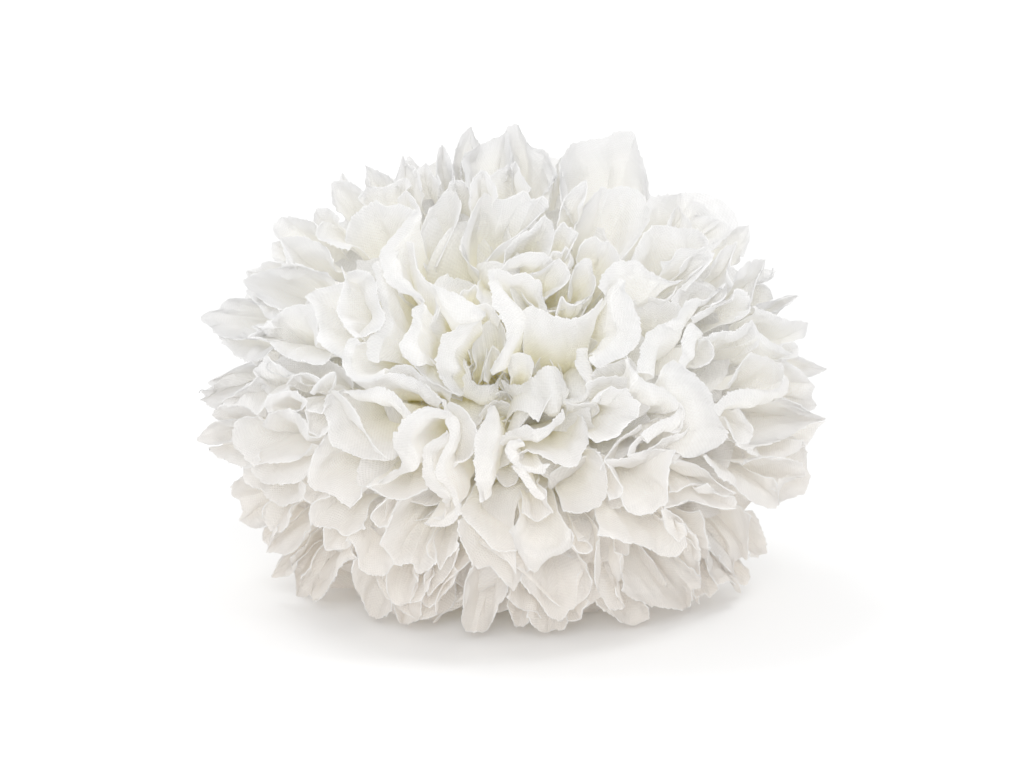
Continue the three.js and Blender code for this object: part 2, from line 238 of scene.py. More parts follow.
# The camera: its height above the level, its distance, and where the head's middle is in a picture of
# 1024 by 768 pixels, of which one is this many millimetres there.
CAMERA_ELEVATION = 12 * DEGREE
CAMERA_DISTANCE = 560
PICTURE_WIDTH = 1024
PICTURE_MIDDLE = (512, 384)
HEAD_PIXEL = (512, 395)
PIXEL = 130 / 630
SENSOR_WIDTH = 36
PICTURE_RIGHT = np.array([1.0, 0.0, 0.0])
PICTURE_UP = np.array([0.0, math.sin(CAMERA_ELEVATION), math.cos(CAMERA_ELEVATION)])
TO_CAMERA = np.array([0.0, -math.cos(CAMERA_ELEVATION), math.sin(CAMERA_ELEVATION)])
AIM = MIDDLE + (PICTURE_MIDDLE[0] - HEAD_PIXEL[0]) * PIXEL * PICTURE_RIGHT
AIM = AIM + (HEAD_PIXEL[1] - PICTURE_MIDDLE[1]) * PIXEL * PICTURE_UP

# The head's front as the camera sees it: how far it reaches to the sides, up and down, and how far it
# stands out towards the camera against the share of that reach.
FRONT_REACH = (64.5, 56.0, 58.0)
FRONT = [(0, 46), (0.15, 51), (0.35, 53), (0.6, 47.5), (0.8, 35.5), (0.92, 21), (1.0, 5), (1.06, 0)]

# A petal that the picture shows is this wide to each side at its root, and its heart is this far below its
# edge. An open one goes past a base that is deeper still and as broad as this share of its edge, is hollow
# by this much, and nears its edge from this share of the way. One with a fold is this broad at its heart, as
# a share of its fold, has the fold at this share of its length, and goes on past it by this share of the
# turned strip before it comes back.
ROOT_HALF_WIDTH = 2.5
HEART_DEPTH = 5
BASE_DEPTH = 7
BASE_BREADTH = 0.6
HOLLOW = 2.0
NEARLY_OUT = 0.55
FOLD_BREADTH = 0.6
FOLD_SHARE = 0.75
FOLD_SWING = 0.3

# How much of the corners of a traced line is kept when it is smoothed.
CORNERS = 0.45

# The relief of a petal that the picture shows: how high its wrinkles and its crumpling are, and the stretch
# of its length over which they grow. Towards its edge they turn into the line of sight, by this power.
WRINKLE_HEIGHT = 0.8
CRUMPLE_HEIGHT = 0.32
RELIEF_GROWS = (1 / 7, 6 / 7)
SIGHT_POWER = 5

# The creases that run up it: how many, how high at most, as a share of the petal's half width too, how broad
# as a share of it, how far from its midrib, and how much they slant, turning about this share of its length.
CREASES = 6
CREASE_HEIGHT = 1.4
CREASE_SHARE = 0.115
CREASE_BREADTH = (0.14, 0.36)
CREASE_ASIDE = 0.95
CREASE_SLANT = 0.6
CREASE_PIVOT = 0.8

# The teeth of its cut edge: how deep, how many waves and how long the longest, and the half width of a petal
# below which they are smaller.
TEETH = 0.3
TEETH_WAVES = 9
TEETH_LENGTH = 14
TEETH_FULL_WIDTH = 9

# Its true size is measured over so many cells, and its slopes over this share of it. A direction has at least
# this length before it is brought to one.
MEASURED_CELLS = 10
STEP = 1e-3
LEAST_LENGTH = 1e-9

# Threads that have come out of the cut edges: how thick they are, in how many steps they bend, and each
# one's line in pixels of the picture, with how far it stands above the head's rounded front.
THREAD_RADIUS = 0.13
THREAD_STEPS = 28
LOOSE_THREADS = [
    {"line": "281,363 274,361 268,363 267,368 271,372 278,374 285,377 290,375 291,372", "rise": (-3, 3, -3)},
    {"line": "207,395 206,391 203,390 200,391 199,393", "rise": (-3, 0, 0)},
    {"line": "754,282 759,281 764,281 769,278 772,273 773,268", "rise": (-4, 0, 1)},
]

# The petals that the picture shows, each by the line of its outer edge, in pixels of the picture. "heart"
# is where its cloth goes down between its neighbours, "rise" is how far its edge stands above the head's
# rounded front, all along or at its start, middle and end, and "fold" is where a turned-over end begins.
SEEN_PETALS = [
    # Above the eye and to its left.
    {"heart": "378,240", "rise": (-6, 0, 0),
     "edge": "345,240 347,228 352,218 358,212 366,205 375,201 387,206 398,204 408,209 416,211"},
    {"heart": "400,300", "rise": 1,
     "edge": "416,211 405,222 397,231 388,242 380,254 381,268 390,285 403,293 415,297 423,303",
     "fold": "421,216 412,229 404,241 398,254 398,268 403,281 411,289 418,293 422,297 425,301"},
    {"heart": "440,240", "rise": (-10, -3, -10),
     "edge": "425,268 420,250 420,236 424,222 431,208 440,197 449,189 456,193 461,205 458,220 451,235"
             " 444,250 437,266"},
    {"heart": "418,300", "rise": (-4, 1, -4),
     "edge": "398,275 397,262 400,249 404,242 413,243 414,256 417,269 426,279 436,287 441,300 438,316"
             " 432,330"},
    {"heart": "440,332", "rise": (2, 3, 2), "edge": "430,283 441,287 453,293 465,299 476,305 486,313",
     "fold": "434,290 441,302 450,313 461,320 473,318 484,315"},
    {"heart": "460,357", "rise": (2, 1, -4),
     "edge": "485,315 474,318 463,321 453,331 443,334 438,348 437,364 441,379 450,391 460,396",
     "fold": "486,316 482,321 475,328 466,337 458,347 454,358 454,368 456,378 460,386 464,391"},
    {"heart": "470,305", "rise": -6, "edge": "459,296 463,290 469,290 475,285 479,292 480,301"},
    {"heart": "497,243", "rise": (-9, 0, -9),
     "edge": "479,271 467,262 460,250 463,235 469,219 477,203 485,191 492,197 501,200 513,197 524,191"
             " 534,199 543,196 549,207 540,214 528,226 513,238 499,246 489,258 483,269"},
    {"heart": "528,250", "rise": (-10, -4, -8),
     "edge": "503,268 506,250 516,239 531,230 545,216 553,222 554,238 549,256"},
    {"heart": "528,268", "rise": (-6, -2, -6),
     "edge": "502,269 508,261 519,255 531,252 542,253 550,258 556,264"},
    {"heart": "520,318", "rise": (-1, -1, -5),
     "edge": "489,270 500,270 512,275 525,272 534,278 541,282 542,296 548,313"},
    {"heart": "525,350", "rise": (3, 3, 0),
     "edge": "488,270 489,285 492,300 499,315 507,328 506,341 498,357 490,371",
     "fold": "499,271 502,285 510,299 519,311 523,322 518,336 508,353 493,373"},
    {"heart": "553,400", "rise": (-1, -2, 0),
     "edge": "521,313 528,306 540,310 552,315 566,320 580,317 591,310 603,298"},
    {"heart": "548,285", "rise": (-5, -1, -6),
     "edge": "530,274 542,270 551,264 559,258 566,264 570,272 566,283 557,291 545,298"},
    {"heart": "582,288", "rise": (-8, -2, -8),
     "edge": "568,296 570,280 576,266 584,260 591,260 593,272 596,284 592,295 584,303"},
    {"heart": "566,245", "rise": (-5, -2, -5),
     "edge": "553,242 556,230 563,222 571,229 578,233 572,246 566,258"},
    {"heart": "560,262", "rise": -4, "edge": "548,262 554,251 562,253 566,246 571,256 568,266"},
    {"heart": "398,345", "rise": 0,
     "edge": "373,265 376,280 378,296 382,309 385,320 379,331 370,336 366,347 368,360",
     "fold": "381,264 383,280 386,295 391,309 395,322 391,336 385,344 382,352 380,362"},
    {"heart": "432,350", "rise": (1, 1, 0),
     "edge": "423,303 412,309 413,321 408,332 400,344 403,356 413,365",
     "fold": "425,306 423,318 421,331 419,343 419,354 419,364"},
    {"heart": "445,350", "rise": -3, "edge": "441,302 434,316 428,330 426,345 430,358 438,368"},
    {"heart": "568,318", "rise": (-3, -2, -3), "edge": "556,314 562,296 566,302 575,305 585,300"},
    {"heart": "480,400", "rise": (-6, -7, -6),
     "edge": "455,352 463,358 470,368 472,380 480,386 490,386 498,382",
     "fold": "453,356 452,370 458,384 466,396 478,402 488,400 496,394"},
    {"heart": "487,395", "rise": (-5, -4, -5),
     "edge": "472,350 474,340 479,329 488,321 497,318 503,326 507,338"},
    {"heart": "520,400", "rise": (-1, 0, -1), "edge": "507,364 511,355 520,352 529,355 534,364"},
    {"heart": "540,400", "rise": (-4, -2, -4),
     "edge": "501,380 511,384 523,384 533,377 543,369 552,366 559,370 563,380",
     "fold": "512,396 519,405 527,411 537,414 547,415 556,412 563,403 566,391"},
    {"heart": "572,385", "rise": (-4, -3, -5),
     "edge": "577,349 574,361 579,373 587,384 585,394 576,399 567,399 561,389 559,377",
     "fold": "588,349 589,362 590,376 589,391 581,401 570,404 562,402 557,392 556,380"},
    {"heart": "582,425", "rise": -2, "edge": "566,402 575,405 586,403 596,404 599,409"},
    {"heart": "500,425", "rise": (-6, -5, -6),
     "edge": "479,415 485,407 494,401 503,401 511,405 519,409 526,413 524,420 512,420 500,421"},
    # Deeper ones that show between their neighbours.
    {"heart": "430,401", "rise": (-2, -1, -2),
     "edge": "388,372 396,366 405,364 412,366 419,373 427,379 435,384 443,387 451,392"},
    {"heart": "428,352", "rise": -1,
     "edge": "408,358 414,365 420,372 427,378 435,383 443,388 451,392 459,395"},
    {"heart": "477,374", "rise": -5,
     "edge": "470,354 466,345 472,338 480,334 486,340 487,350 485,362 482,375"},
    {"heart": "489,374", "rise": (-5, -4, -5),
     "edge": "484,380 485,368 488,356 493,345 499,350 499,361 494,371"},
    {"heart": "505,375", "rise": -6, "edge": "497,381 501,388 507,393 513,394 517,387"},
    {"heart": "503,412", "rise": -5, "edge": "492,401 495,395 500,392 506,392 511,398 514,407"},
    {"heart": "521,396", "rise": -6, "edge": "505,400 510,393 517,389 523,395 528,404 532,413"},
    {"heart": "508,438", "rise": -8, "edge": "495,427 499,421 506,419 514,420 521,421 526,427"},
    {"heart": "540,438", "rise": -9, "edge": "520,427 524,418 532,412 544,412 554,411 562,417"},
    {"heart": "466,392", "rise": -6, "edge": "446,403 450,414 459,424 470,428 479,424 484,414 487,404"},
    {"heart": "455,378", "rise": -9, "edge": "430,372 436,383 444,391 452,397 462,401"},
    {"heart": "488,388", "rise": (-9, -8, -9), "edge": "466,372 472,364 480,360 489,361 498,367 503,376"},
    {"heart": "545,378", "rise": -7, "edge": "532,373 536,364 541,357 548,357 553,365"},
    {"heart": "507,452", "rise": -8, "edge": "494,470 499,481 507,487 515,484 520,473"},
    {"heart": "287,388", "rise": (-1, 0, -1),
     "edge": "222,402 235,393 248,383 257,377 253,370 262,362 267,355 273,362 283,367 291,373 300,375"},
    {"heart": "318,402", "rise": -6,
     "edge": "262,388 266,373 275,362 287,356 300,354 315,356 330,360 345,370 354,384"},
    {"heart": "678,546", "rise": 1, "edge": "692,600 694,589 699,587 700,575 699,562 697,550"},
    {"heart": "706,548", "rise": (1, 2, 2), "edge": "709,570 713,579 719,584 727,580 735,584"},
    {"heart": "486,262", "rise": -6, "edge": "476,297 481,303 489,309 495,312"},
    {"heart": "484,338", "rise": -3, "edge": "468,318 476,306 484,303 492,308 500,319"},
    {"heart": "328,408", "rise": 2, "edge": "336,391 346,399 354,409 360,421 366,434 374,446 386,458"},
    # Above the eye and to its right.
    {"heart": "600,268", "rise": (-6, -3, -6),
     "edge": "578,252 582,243 589,239 596,237 602,242 609,241 615,248 619,256 617,267"},
    {"heart": "612,225", "rise": (-8, 0, -8),
     "edge": "572,236 579,216 586,203 595,193 603,187 611,191 616,187 626,185 636,189 645,199 650,209"
             " 649,221 641,234 632,247 620,260"},
    {"heart": "668,262", "rise": (-6, -2, -3),
     "edge": "628,266 636,248 645,233 656,225 670,227 685,228 698,231 706,238 709,247"},
    {"heart": "680,232", "rise": -6, "edge": "666,230 672,213 679,205 684,215 689,220 693,230"},
    {"heart": "672,225", "rise": -2,
     "edge": "646,205 650,197 662,196 674,194 686,192 693,196 693,201 704,206 713,215 720,222"},
    {"heart": "705,238", "rise": -3, "edge": "696,214 706,217 718,219 726,224 731,232 725,238 714,242"},
    {"heart": "738,250", "rise": -6, "edge": "728,236 734,229 742,226 749,226 750,237 747,247 743,257"},
    {"heart": "690,272", "rise": 0,
     "edge": "660,262 671,261 677,251 687,247 698,249 707,248 713,254 708,265 698,277 686,288"},
    {"heart": "690,275", "rise": -1, "edge": "680,268 686,260 695,255 704,252 709,256 702,266 690,275"},
    {"heart": "605,330", "rise": 2,
     "edge": "598,287 601,276 612,265 625,261 637,261 648,270 660,278 671,282 683,280",
     "fold": "607,299 610,287 618,278 630,275 642,278 652,282 663,285 675,285"},
    {"heart": "627,326", "rise": (3, 3, 2),
     "edge": "625,282 625,292 631,301 635,312 641,323 642,334 637,345 628,354 613,361 597,368",
     "fold": "622,284 614,292 610,303 612,314 616,325 614,336 607,344 599,350 590,357"},
    {"heart": "615,397", "rise": -3, "edge": "591,376 596,370 607,365 619,361 630,358 637,367"},
    {"heart": "652,342", "rise": (-3, -3, -4), "edge": "633,304 643,298 656,299 668,301 678,305 684,313"},
    {"heart": "690,322", "rise": -3, "edge": "671,300 679,289 691,282 704,284 716,291"},
    {"heart": "648,315", "rise": (-3, -2, -1), "edge": "632,302 640,297 650,297 664,300 673,294 677,286"},
    {"heart": "655,400", "rise": 2,
     "edge": "697,298 688,302 680,309 675,318 667,322 656,327 647,335 641,347 638,361 634,373",
     "fold": "701,304 692,309 685,315 681,325 679,335 671,341 663,346 658,355 655,366 652,377"},
    {"heart": "672,370", "rise": (3, 3, 2), "edge": "700,330 692,323 685,331 681,342 682,352 678,362",
     "fold": "702,334 698,338 694,346 692,355 688,363 684,369"},
    {"heart": "735,350", "rise": 0,
     "edge": "698,340 711,336 723,331 736,330 745,324 752,321 757,332 759,345"},
    {"heart": "700,352", "rise": -1, "edge": "700,337 708,338 713,346 714,356 709,362 700,367"},
    {"heart": "768,307", "rise": -2,
     "edge": "757,304 768,302 780,299 791,296 800,295 790,303 780,310 768,313"},
    {"heart": "775,335", "rise": 0, "edge": "754,306 765,311 776,316 788,320 800,321 808,324 806,336"},
    {"heart": "745,290", "rise": 0,
     "edge": "733,285 738,270 747,262 756,260 766,259 762,269 757,279 753,292 749,308"},
    {"heart": "738,312", "rise": 2, "edge": "732,298 735,290 743,291 749,297 751,307 745,316 736,317"},
    {"heart": "760,295", "rise": -4, "edge": "752,288 757,284 765,285 770,289 773,298"},
    {"heart": "752,284", "rise": -4, "edge": "756,280 764,280 771,276 775,270 773,277 766,282"},
    {"heart": "725,280", "rise": 0,
     "edge": "716,262 722,250 729,245 737,242 733,252 729,262 727,275 733,285"},
    {"heart": "712,305", "rise": 0,
     "edge": "697,298 703,301 713,296 722,289 727,282 727,292 722,300 711,305"},
    {"heart": "715,318", "rise": 0, "edge": "690,318 700,312 711,308 722,305 731,298 735,290"},
    {"heart": "750,360", "rise": 1, "edge": "758,330 766,338 776,345 788,352 792,354",
     "fold": "757,338 764,346 774,351 785,355 790,357"},
    {"heart": "788,352", "rise": 1, "edge": "779,350 784,344 792,342 799,347 799,354 792,358 782,358"},
    # Below the eye and to its left.
    {"heart": "400,402", "rise": (1, 1, 0),
     "edge": "352,380 362,381 374,380 387,373 401,373 416,380 430,389 443,400"},
    {"heart": "392,425", "rise": (2, 2, 1),
     "edge": "343,392 352,390 362,390 372,388 382,387 393,393 403,403 414,416",
     "fold": "350,394 360,396 370,396 381,398 391,402 399,409 405,416 411,421"},
    {"heart": "378,425", "rise": (-1, 0, -3),
     "edge": "338,391 326,396 324,410 330,424 328,437 336,448 345,452 358,457 370,458 382,460 392,460"
             " 401,453"},
    {"heart": "428,442", "rise": (2, 4, 3),
     "edge": "447,411 435,408 425,406 416,412 407,418 399,426 393,435 393,445 398,454 402,463 398,470"
             " 388,475 378,482 366,487",
     "fold": "447,414 433,416 422,423 415,433 413,442 416,451 418,460 413,468 405,473 396,478 386,482"
             " 372,487"},
    {"heart": "398,478", "rise": 1, "edge": "366,487 377,492 388,498 402,499 415,495 428,489"},
    {"heart": "455,470", "rise": (2, 3, 3),
     "edge": "448,432 440,437 431,441 424,449 422,460 422,472 425,483 433,491 441,498 446,507 443,516"
             " 432,518",
     "fold": "449,434 448,443 442,453 435,461 434,471 439,482 447,491 451,501 450,511 445,519"},
    {"heart": "462,450", "rise": (0, 4, 3),
     "edge": "440,399 445,411 448,424 449,437 445,448 438,459 436,469 440,481 449,491 454,502 456,514",
     "fold": "447,401 452,412 456,425 457,436 452,447 446,458 445,469 451,480 457,490 460,501 460,513"},
    {"heart": "452,442", "rise": (0, 2, 0),
     "edge": "449,402 461,406 469,413 475,425 477,437 473,450 468,459 457,463 448,472"},
    {"heart": "446,508", "rise": 3, "edge": "461,504 459,515 452,523 442,527 430,526 424,523",
     "fold": "457,503 452,512 445,518 436,521 430,523 425,523"},
    {"heart": "510,460", "rise": (2, 4, 3),
     "edge": "491,405 484,419 478,432 475,447 474,462 475,477 478,491 482,502",
     "fold": "493,407 497,421 498,435 497,449 495,463 489,475 485,487 486,500"},
    {"heart": "528,460", "rise": (2, 3, 0),
     "edge": "497,441 505,434 515,431 526,425 533,429 541,427 549,424 556,417 563,410",
     "fold": "500,446 511,442 524,440 536,441 547,436 555,429 563,418"},
    {"heart": "556,436", "rise": (2, 2, 0),
     "edge": "515,464 518,455 528,451 541,455 553,461 566,467 577,465 583,453 589,441 587,428 582,417"},
    {"heart": "532,462", "rise": (3, 4, 4),
     "edge": "549,464 542,474 529,472 517,467 508,459 505,449 511,441 521,440",
     "fold": "543,464 537,469 528,467 520,462 514,456 512,449 516,445 524,443"},
    {"heart": "522,492", "rise": 3, "edge": "512,466 519,476 527,487 534,497 541,500",
     "fold": "518,466 527,475 534,485 540,493 543,498"},
    {"heart": "580,480", "rise": (0, 0, -1),
     "edge": "598,452 605,466 608,481 606,495 599,506 587,511 575,513 563,511"},
    {"heart": "535,495", "rise": (0, 0, -2), "edge": "522,512 538,522 545,517 553,512 547,503 546,490"},
    {"heart": "490,515", "rise": (1, 2, 2),
     "edge": "458,510 466,520 476,530 486,541 495,549 505,552 517,551"},
    {"heart": "495,545", "rise": (0, 1, 0),
     "edge": "458,520 458,531 462,543 468,555 474,566 482,568 490,567 498,575 505,583 513,591 518,583"
             " 525,575 530,566"},
    {"heart": "340,465", "rise": (0, 1, 0),
     "edge": "324,439 316,450 312,462 308,475 310,486 315,491 326,493 336,497 343,503 350,507 357,501"
             " 362,495"},
    {"heart": "318,488", "rise": -1, "edge": "305,487 304,500 311,504 318,500 330,496"},
    {"heart": "335,508", "rise": 0,
     "edge": "311,505 310,520 314,527 325,527 335,529 345,535 355,532 366,528"},
    {"heart": "385,508", "rise": 1, "edge": "386,500 378,507 371,515 371,520 378,527 388,525 393,515"},
    {"heart": "408,530", "rise": (0, 1, 0),
     "edge": "398,500 391,515 386,530 381,545 388,553 395,564 405,563 412,563 418,575 425,572 432,567"
             " 437,560"},
    {"heart": "440,535", "rise": 0, "edge": "427,552 430,558 436,561 440,570 447,558 455,550 459,543"},
    # Along the bottom, to the left.
    {"heart": "440,560", "rise": -1, "edge": "424,575 425,588 428,595 436,587 446,578 453,566 459,548"},
    {"heart": "422,575", "rise": 0, "edge": "418,577 413,590 410,603 420,601 427,590 431,578"},
    {"heart": "402,572", "rise": 0, "edge": "386,575 387,590 393,602 401,606 410,602 416,590 418,577"},
    {"heart": "406,600", "rise": -1, "edge": "393,604 397,616 402,627 410,624 420,617 421,604"},
    {"heart": "440,575", "rise": -2, "edge": "421,600 427,607 436,602 445,593 454,583 457,570"},
    {"heart": "370,575", "rise": 0,
     "edge": "354,560 352,575 356,590 363,600 366,612 372,619 378,621 384,615 392,611"},
    {"heart": "368,540", "rise": 1,
     "edge": "346,540 354,545 358,557 360,568 368,574 380,576 388,572 394,564"},
    {"heart": "318,560", "rise": 0, "edge": "302,575 302,590 310,596 313,602 320,598 328,590 335,578"},
    {"heart": "300,560", "rise": -2, "edge": "290,560 295,575 296,590 297,600 304,598 310,595"},
    {"heart": "325,560", "rise": 1, "edge": "313,601 324,594 331,583 338,570 347,561 358,558"},
    {"heart": "290,525", "rise": 0,
     "edge": "278,530 272,540 267,552 275,553 282,555 292,552 300,545 305,535"},
    {"heart": "290,558", "rise": -2, "edge": "283,556 277,566 272,577 282,577 293,573 297,565"},
    {"heart": "272,528", "rise": -5, "edge": "264,528 263,541 268,545 275,538"},
    {"heart": "338,530", "rise": 1, "edge": "323,530 326,550 335,549 345,549 351,545"},
    {"heart": "485,585", "rise": (0, 1, 0),
     "edge": "470,568 466,580 464,595 463,610 461,623 469,632 477,631 483,634 490,626 495,614 499,604"
             " 506,597 508,587"},
    # The left side.
    {"heart": "280,440", "rise": 1,
     "edge": "245,417 236,422 232,434 232,445 240,452 246,460 254,464 268,463 285,462 300,458 308,450"},
    {"heart": "295,435", "rise": 0,
     "edge": "262,425 268,415 278,410 290,410 300,415 308,425 309,435 320,437 328,430"},
    {"heart": "318,415", "rise": 1, "edge": "305,410 308,422 309,432 316,436 325,434 330,428"},
    {"heart": "290,455", "rise": 0,
     "edge": "250,466 256,475 262,483 275,484 290,483 303,479 312,470 316,460"},
    {"heart": "280,480", "rise": -2,
     "edge": "243,468 245,480 252,487 262,491 268,498 280,505 292,504 303,499 306,485"},
    {"heart": "258,500", "rise": -4,
     "edge": "247,470 240,478 232,485 231,496 240,500 243,510 241,520 250,527 262,528 270,522"},
    {"heart": "282,505", "rise": -1, "edge": "262,510 263,520 268,529 278,532 288,525 292,515"},
    {"heart": "235,430", "rise": -1,
     "edge": "232,420 222,420 210,424 202,432 197,440 205,444 215,445 228,442 238,440"},
    {"heart": "245,445", "rise": -2, "edge": "208,448 215,455 225,460 235,465 245,467 255,465 262,460"},
    {"heart": "245,425", "rise": -1,
     "edge": "218,420 212,415 215,408 226,405 235,405 245,407 255,413 262,420"},
    {"heart": "250,380", "rise": -1,
     "edge": "250,362 235,368 222,375 208,383 215,388 201,392 206,396 200,400 208,405 218,409 222,402"
             " 235,395 250,385 258,376"},
    {"heart": "270,385", "rise": 0,
     "edge": "222,402 230,406 240,405 250,410 256,415 262,410 268,400 280,393 290,390"},
    {"heart": "290,402", "rise": 2,
     "edge": "268,412 265,405 268,397 278,393 290,390 300,395 307,402 304,408 295,411"},
    {"heart": "305,390", "rise": 1, "edge": "286,385 292,377 300,373 312,374 322,380"},
    {"heart": "328,385", "rise": 2, "edge": "310,393 315,385 322,378 330,373 335,372 333,385 328,392"},
    {"heart": "318,400", "rise": 2, "edge": "305,400 307,410 315,412 322,413 325,405"},
    {"heart": "250,318", "rise": -1,
     "edge": "258,303 248,299 236,298 224,301 218,310 210,311 200,318 209,327 218,335 230,339 243,339"
             " 256,334 268,326"},
    {"heart": "272,332", "rise": 1, "edge": "265,340 257,338 248,337 257,331 251,326 262,327 272,322"},
    {"heart": "255,345", "rise": -3, "edge": "218,335 225,345 235,355 245,360 258,362 266,355 275,345"},
    {"heart": "300,290", "rise": -1,
     "edge": "280,310 268,305 260,298 250,292 243,280 252,275 263,271 275,267 288,264 302,265 315,270"
             " 328,273"},
    {"heart": "270,300", "rise": 0, "edge": "246,291 252,298 258,305 263,313 268,319 276,316 280,309"},
    {"heart": "300,330", "rise": 1,
     "edge": "262,329 272,320 282,311 294,305 305,304 312,306 316,317 318,330 318,342"},
    {"heart": "305,345", "rise": 1, "edge": "271,342 276,350 285,356 297,361 310,363 322,364 330,358"},
    {"heart": "338,320", "rise": 2,
     "edge": "345,282 335,284 325,287 315,290 306,297 311,303 315,312 318,325 318,340 325,347 335,355"
             " 345,360"},
    {"heart": "362,315", "rise": 2, "edge": "341,266 345,279 342,292 337,308 341,320 347,330 356,338"},
    {"heart": "362,310", "rise": 1,
     "edge": "348,272 358,270 369,273 376,284 379,300 385,317 379,329 368,335 358,338"},
    {"heart": "380,350", "rise": 2,
     "edge": "356,337 347,341 343,350 342,362 347,374 357,381 370,381 383,377",
     "fold": "363,345 356,348 353,357 353,367 358,375 367,377 376,375 386,372"},
    {"heart": "330,225", "rise": -2, "edge": "313,222 316,210 322,209 328,208 334,212 340,219"},
    {"heart": "338,232", "rise": -1, "edge": "322,221 316,229 318,238 328,243 338,248 350,249"},
    {"heart": "308,255", "rise": 0,
     "edge": "287,264 284,250 281,238 292,236 305,238 318,242 327,250 333,262"},
    {"heart": "300,235", "rise": -2,
     "edge": "280,240 275,235 273,225 277,219 290,217 303,219 313,222 318,228"},
    {"heart": "285,252", "rise": -4, "edge": "283,262 274,260 271,250 272,243 280,241"},
    {"heart": "275,270", "rise": -3, "edge": "248,277 246,271 258,270 262,264 268,261 280,263 290,263"},
    # Along the top.
    {"heart": "350,200", "rise": -2, "edge": "333,205 331,190 333,181 341,180 352,183 360,188 360,197"},
    {"heart": "345,186", "rise": -4, "edge": "339,182 342,173 349,182"},
    {"heart": "382,187", "rise": -3, "edge": "370,186 368,175 366,166 375,170 384,173 392,179 396,186"},
    {"heart": "410,187", "rise": -2, "edge": "394,182 399,168 403,156 408,165 415,168 420,176 422,190"},
    {"heart": "413,172", "rise": -4, "edge": "404,165 409,157 415,162 421,169"},
    {"heart": "427,185", "rise": -2, "edge": "413,172 420,167 426,163 430,170 434,178 440,184"},
    {"heart": "446,183", "rise": -2,
     "edge": "441,184 436,170 437,155 442,144 447,152 451,160 453,170 452,183"},
    {"heart": "463,172", "rise": -2,
     "edge": "455,184 453,165 456,148 462,135 471,126 474,135 480,143 472,150 464,155 461,165"},
    {"heart": "490,172", "rise": -1,
     "edge": "466,184 464,170 462,160 470,152 482,143 495,138 506,133 510,145 512,158 508,170"},
    {"heart": "532,177", "rise": -2,
     "edge": "512,170 510,148 507,127 515,123 523,134 533,147 545,151 552,163 558,176 549,187"},
    {"heart": "508,188", "rise": -1, "edge": "487,182 495,172 504,167 515,162 519,170 524,178 531,188"},
    {"heart": "484,198", "rise": -1, "edge": "470,202 471,185 477,175 483,170 489,175 495,184 498,197"},
    {"heart": "460,196", "rise": -2, "edge": "448,190 452,181 462,181 468,186 471,196"},
    {"heart": "385,199", "rise": -2, "edge": "358,198 368,187 380,187 391,186 399,180 405,178 412,186"},
    {"heart": "408,211", "rise": -1, "edge": "398,198 406,191 413,197 418,206 421,215"},
    {"heart": "605,182", "rise": (-4, -1, -4),
     "edge": "562,208 560,190 560,175 561,160 568,148 579,140 590,140 601,139 612,134 620,132 633,132"
             " 637,143 641,155 645,167 648,180 649,198"},
    {"heart": "573,216", "rise": (-1, 0, -1), "edge": "560,212 565,198 576,187 586,180 587,191 583,206"},
    {"heart": "558,187", "rise": -5, "edge": "552,180 556,165 561,157 563,176"},
    # Along the bottom, to the right.
    {"heart": "545,512", "rise": 3,
     "edge": "509,531 515,543 520,556 528,566 536,571 543,563 552,557 563,553 572,546 573,534",
     "fold": "516,525 520,536 526,544 536,548 548,547 559,543 567,536 569,528"},
    {"heart": "560,570", "rise": (1, 2, 1),
     "edge": "520,580 528,590 536,598 543,608 552,618 560,620 567,614 575,608 583,602 590,592 592,583"
             " 588,572"},
    {"heart": "548,608", "rise": 1, "edge": "527,615 533,625 541,633 547,636 555,630 562,630 568,622"},
    {"heart": "525,590", "rise": 0, "edge": "506,597 515,605 525,611 537,612 541,618"},
    {"heart": "520,600", "rise": -3, "edge": "507,605 512,618 517,627 525,625 530,617"},
    {"heart": "575,600", "rise": 0, "edge": "560,622 570,621 579,620 583,608 590,602"},
    {"heart": "610,565", "rise": 2,
     "edge": "596,548 595,565 595,580 599,594 606,604 615,610 624,608 617,597 615,588 621,578 620,562"},
    {"heart": "625,600", "rise": 0,
     "edge": "597,605 608,613 618,619 627,626 634,629 642,623 648,618 648,608 640,600"},
    {"heart": "655,570", "rise": 2,
     "edge": "621,590 632,598 642,602 652,607 665,607 677,609 688,611 692,600 692,590 700,588 700,575"},
    {"heart": "640,520", "rise": 3,
     "edge": "597,535 610,538 625,541 640,545 652,550 660,556 668,557 678,554 686,546 686,538"},
    {"heart": "680,540", "rise": 2, "edge": "664,508 672,513 681,520 688,528 695,535 699,548 699,560"},
    {"heart": "672,522", "rise": 3, "edge": "661,510 664,525 672,535 680,541 686,535 684,524"},
    {"heart": "698,540", "rise": 1, "edge": "699,510 704,520 706,535 708,550 707,562"},
    {"heart": "715,560", "rise": 1,
     "edge": "709,552 707,565 711,577 718,583 726,580 735,584 740,592 737,580 730,571 720,561"},
    {"heart": "730,530", "rise": 0,
     "edge": "709,550 718,558 727,567 733,574 735,562 742,558 747,561 748,545 749,530 750,515"},
    {"heart": "750,530", "rise": -2, "edge": "752,510 758,520 763,532 766,545 767,553 758,556 748,556"},
    {"heart": "738,565", "rise": -2, "edge": "740,560 745,568 750,580 747,585 740,584 733,578"},
    {"heart": "705,580", "rise": 1, "edge": "693,590 697,598 705,594 710,598 717,590 716,582"},
    {"heart": "580,546", "rise": 3, "edge": "573,545 578,552 588,554 593,549 588,543 578,541"},
    # The right side.
    {"heart": "612,412", "rise": 3,
     "edge": "590,437 597,443 606,440 614,437 621,430 630,421 638,417 639,403 631,395 628,387 620,390"
             " 612,387 603,392 597,402"},
    {"heart": "650,425", "rise": 3,
     "edge": "626,354 630,364 636,374 643,381 655,385 665,388 672,394 678,402",
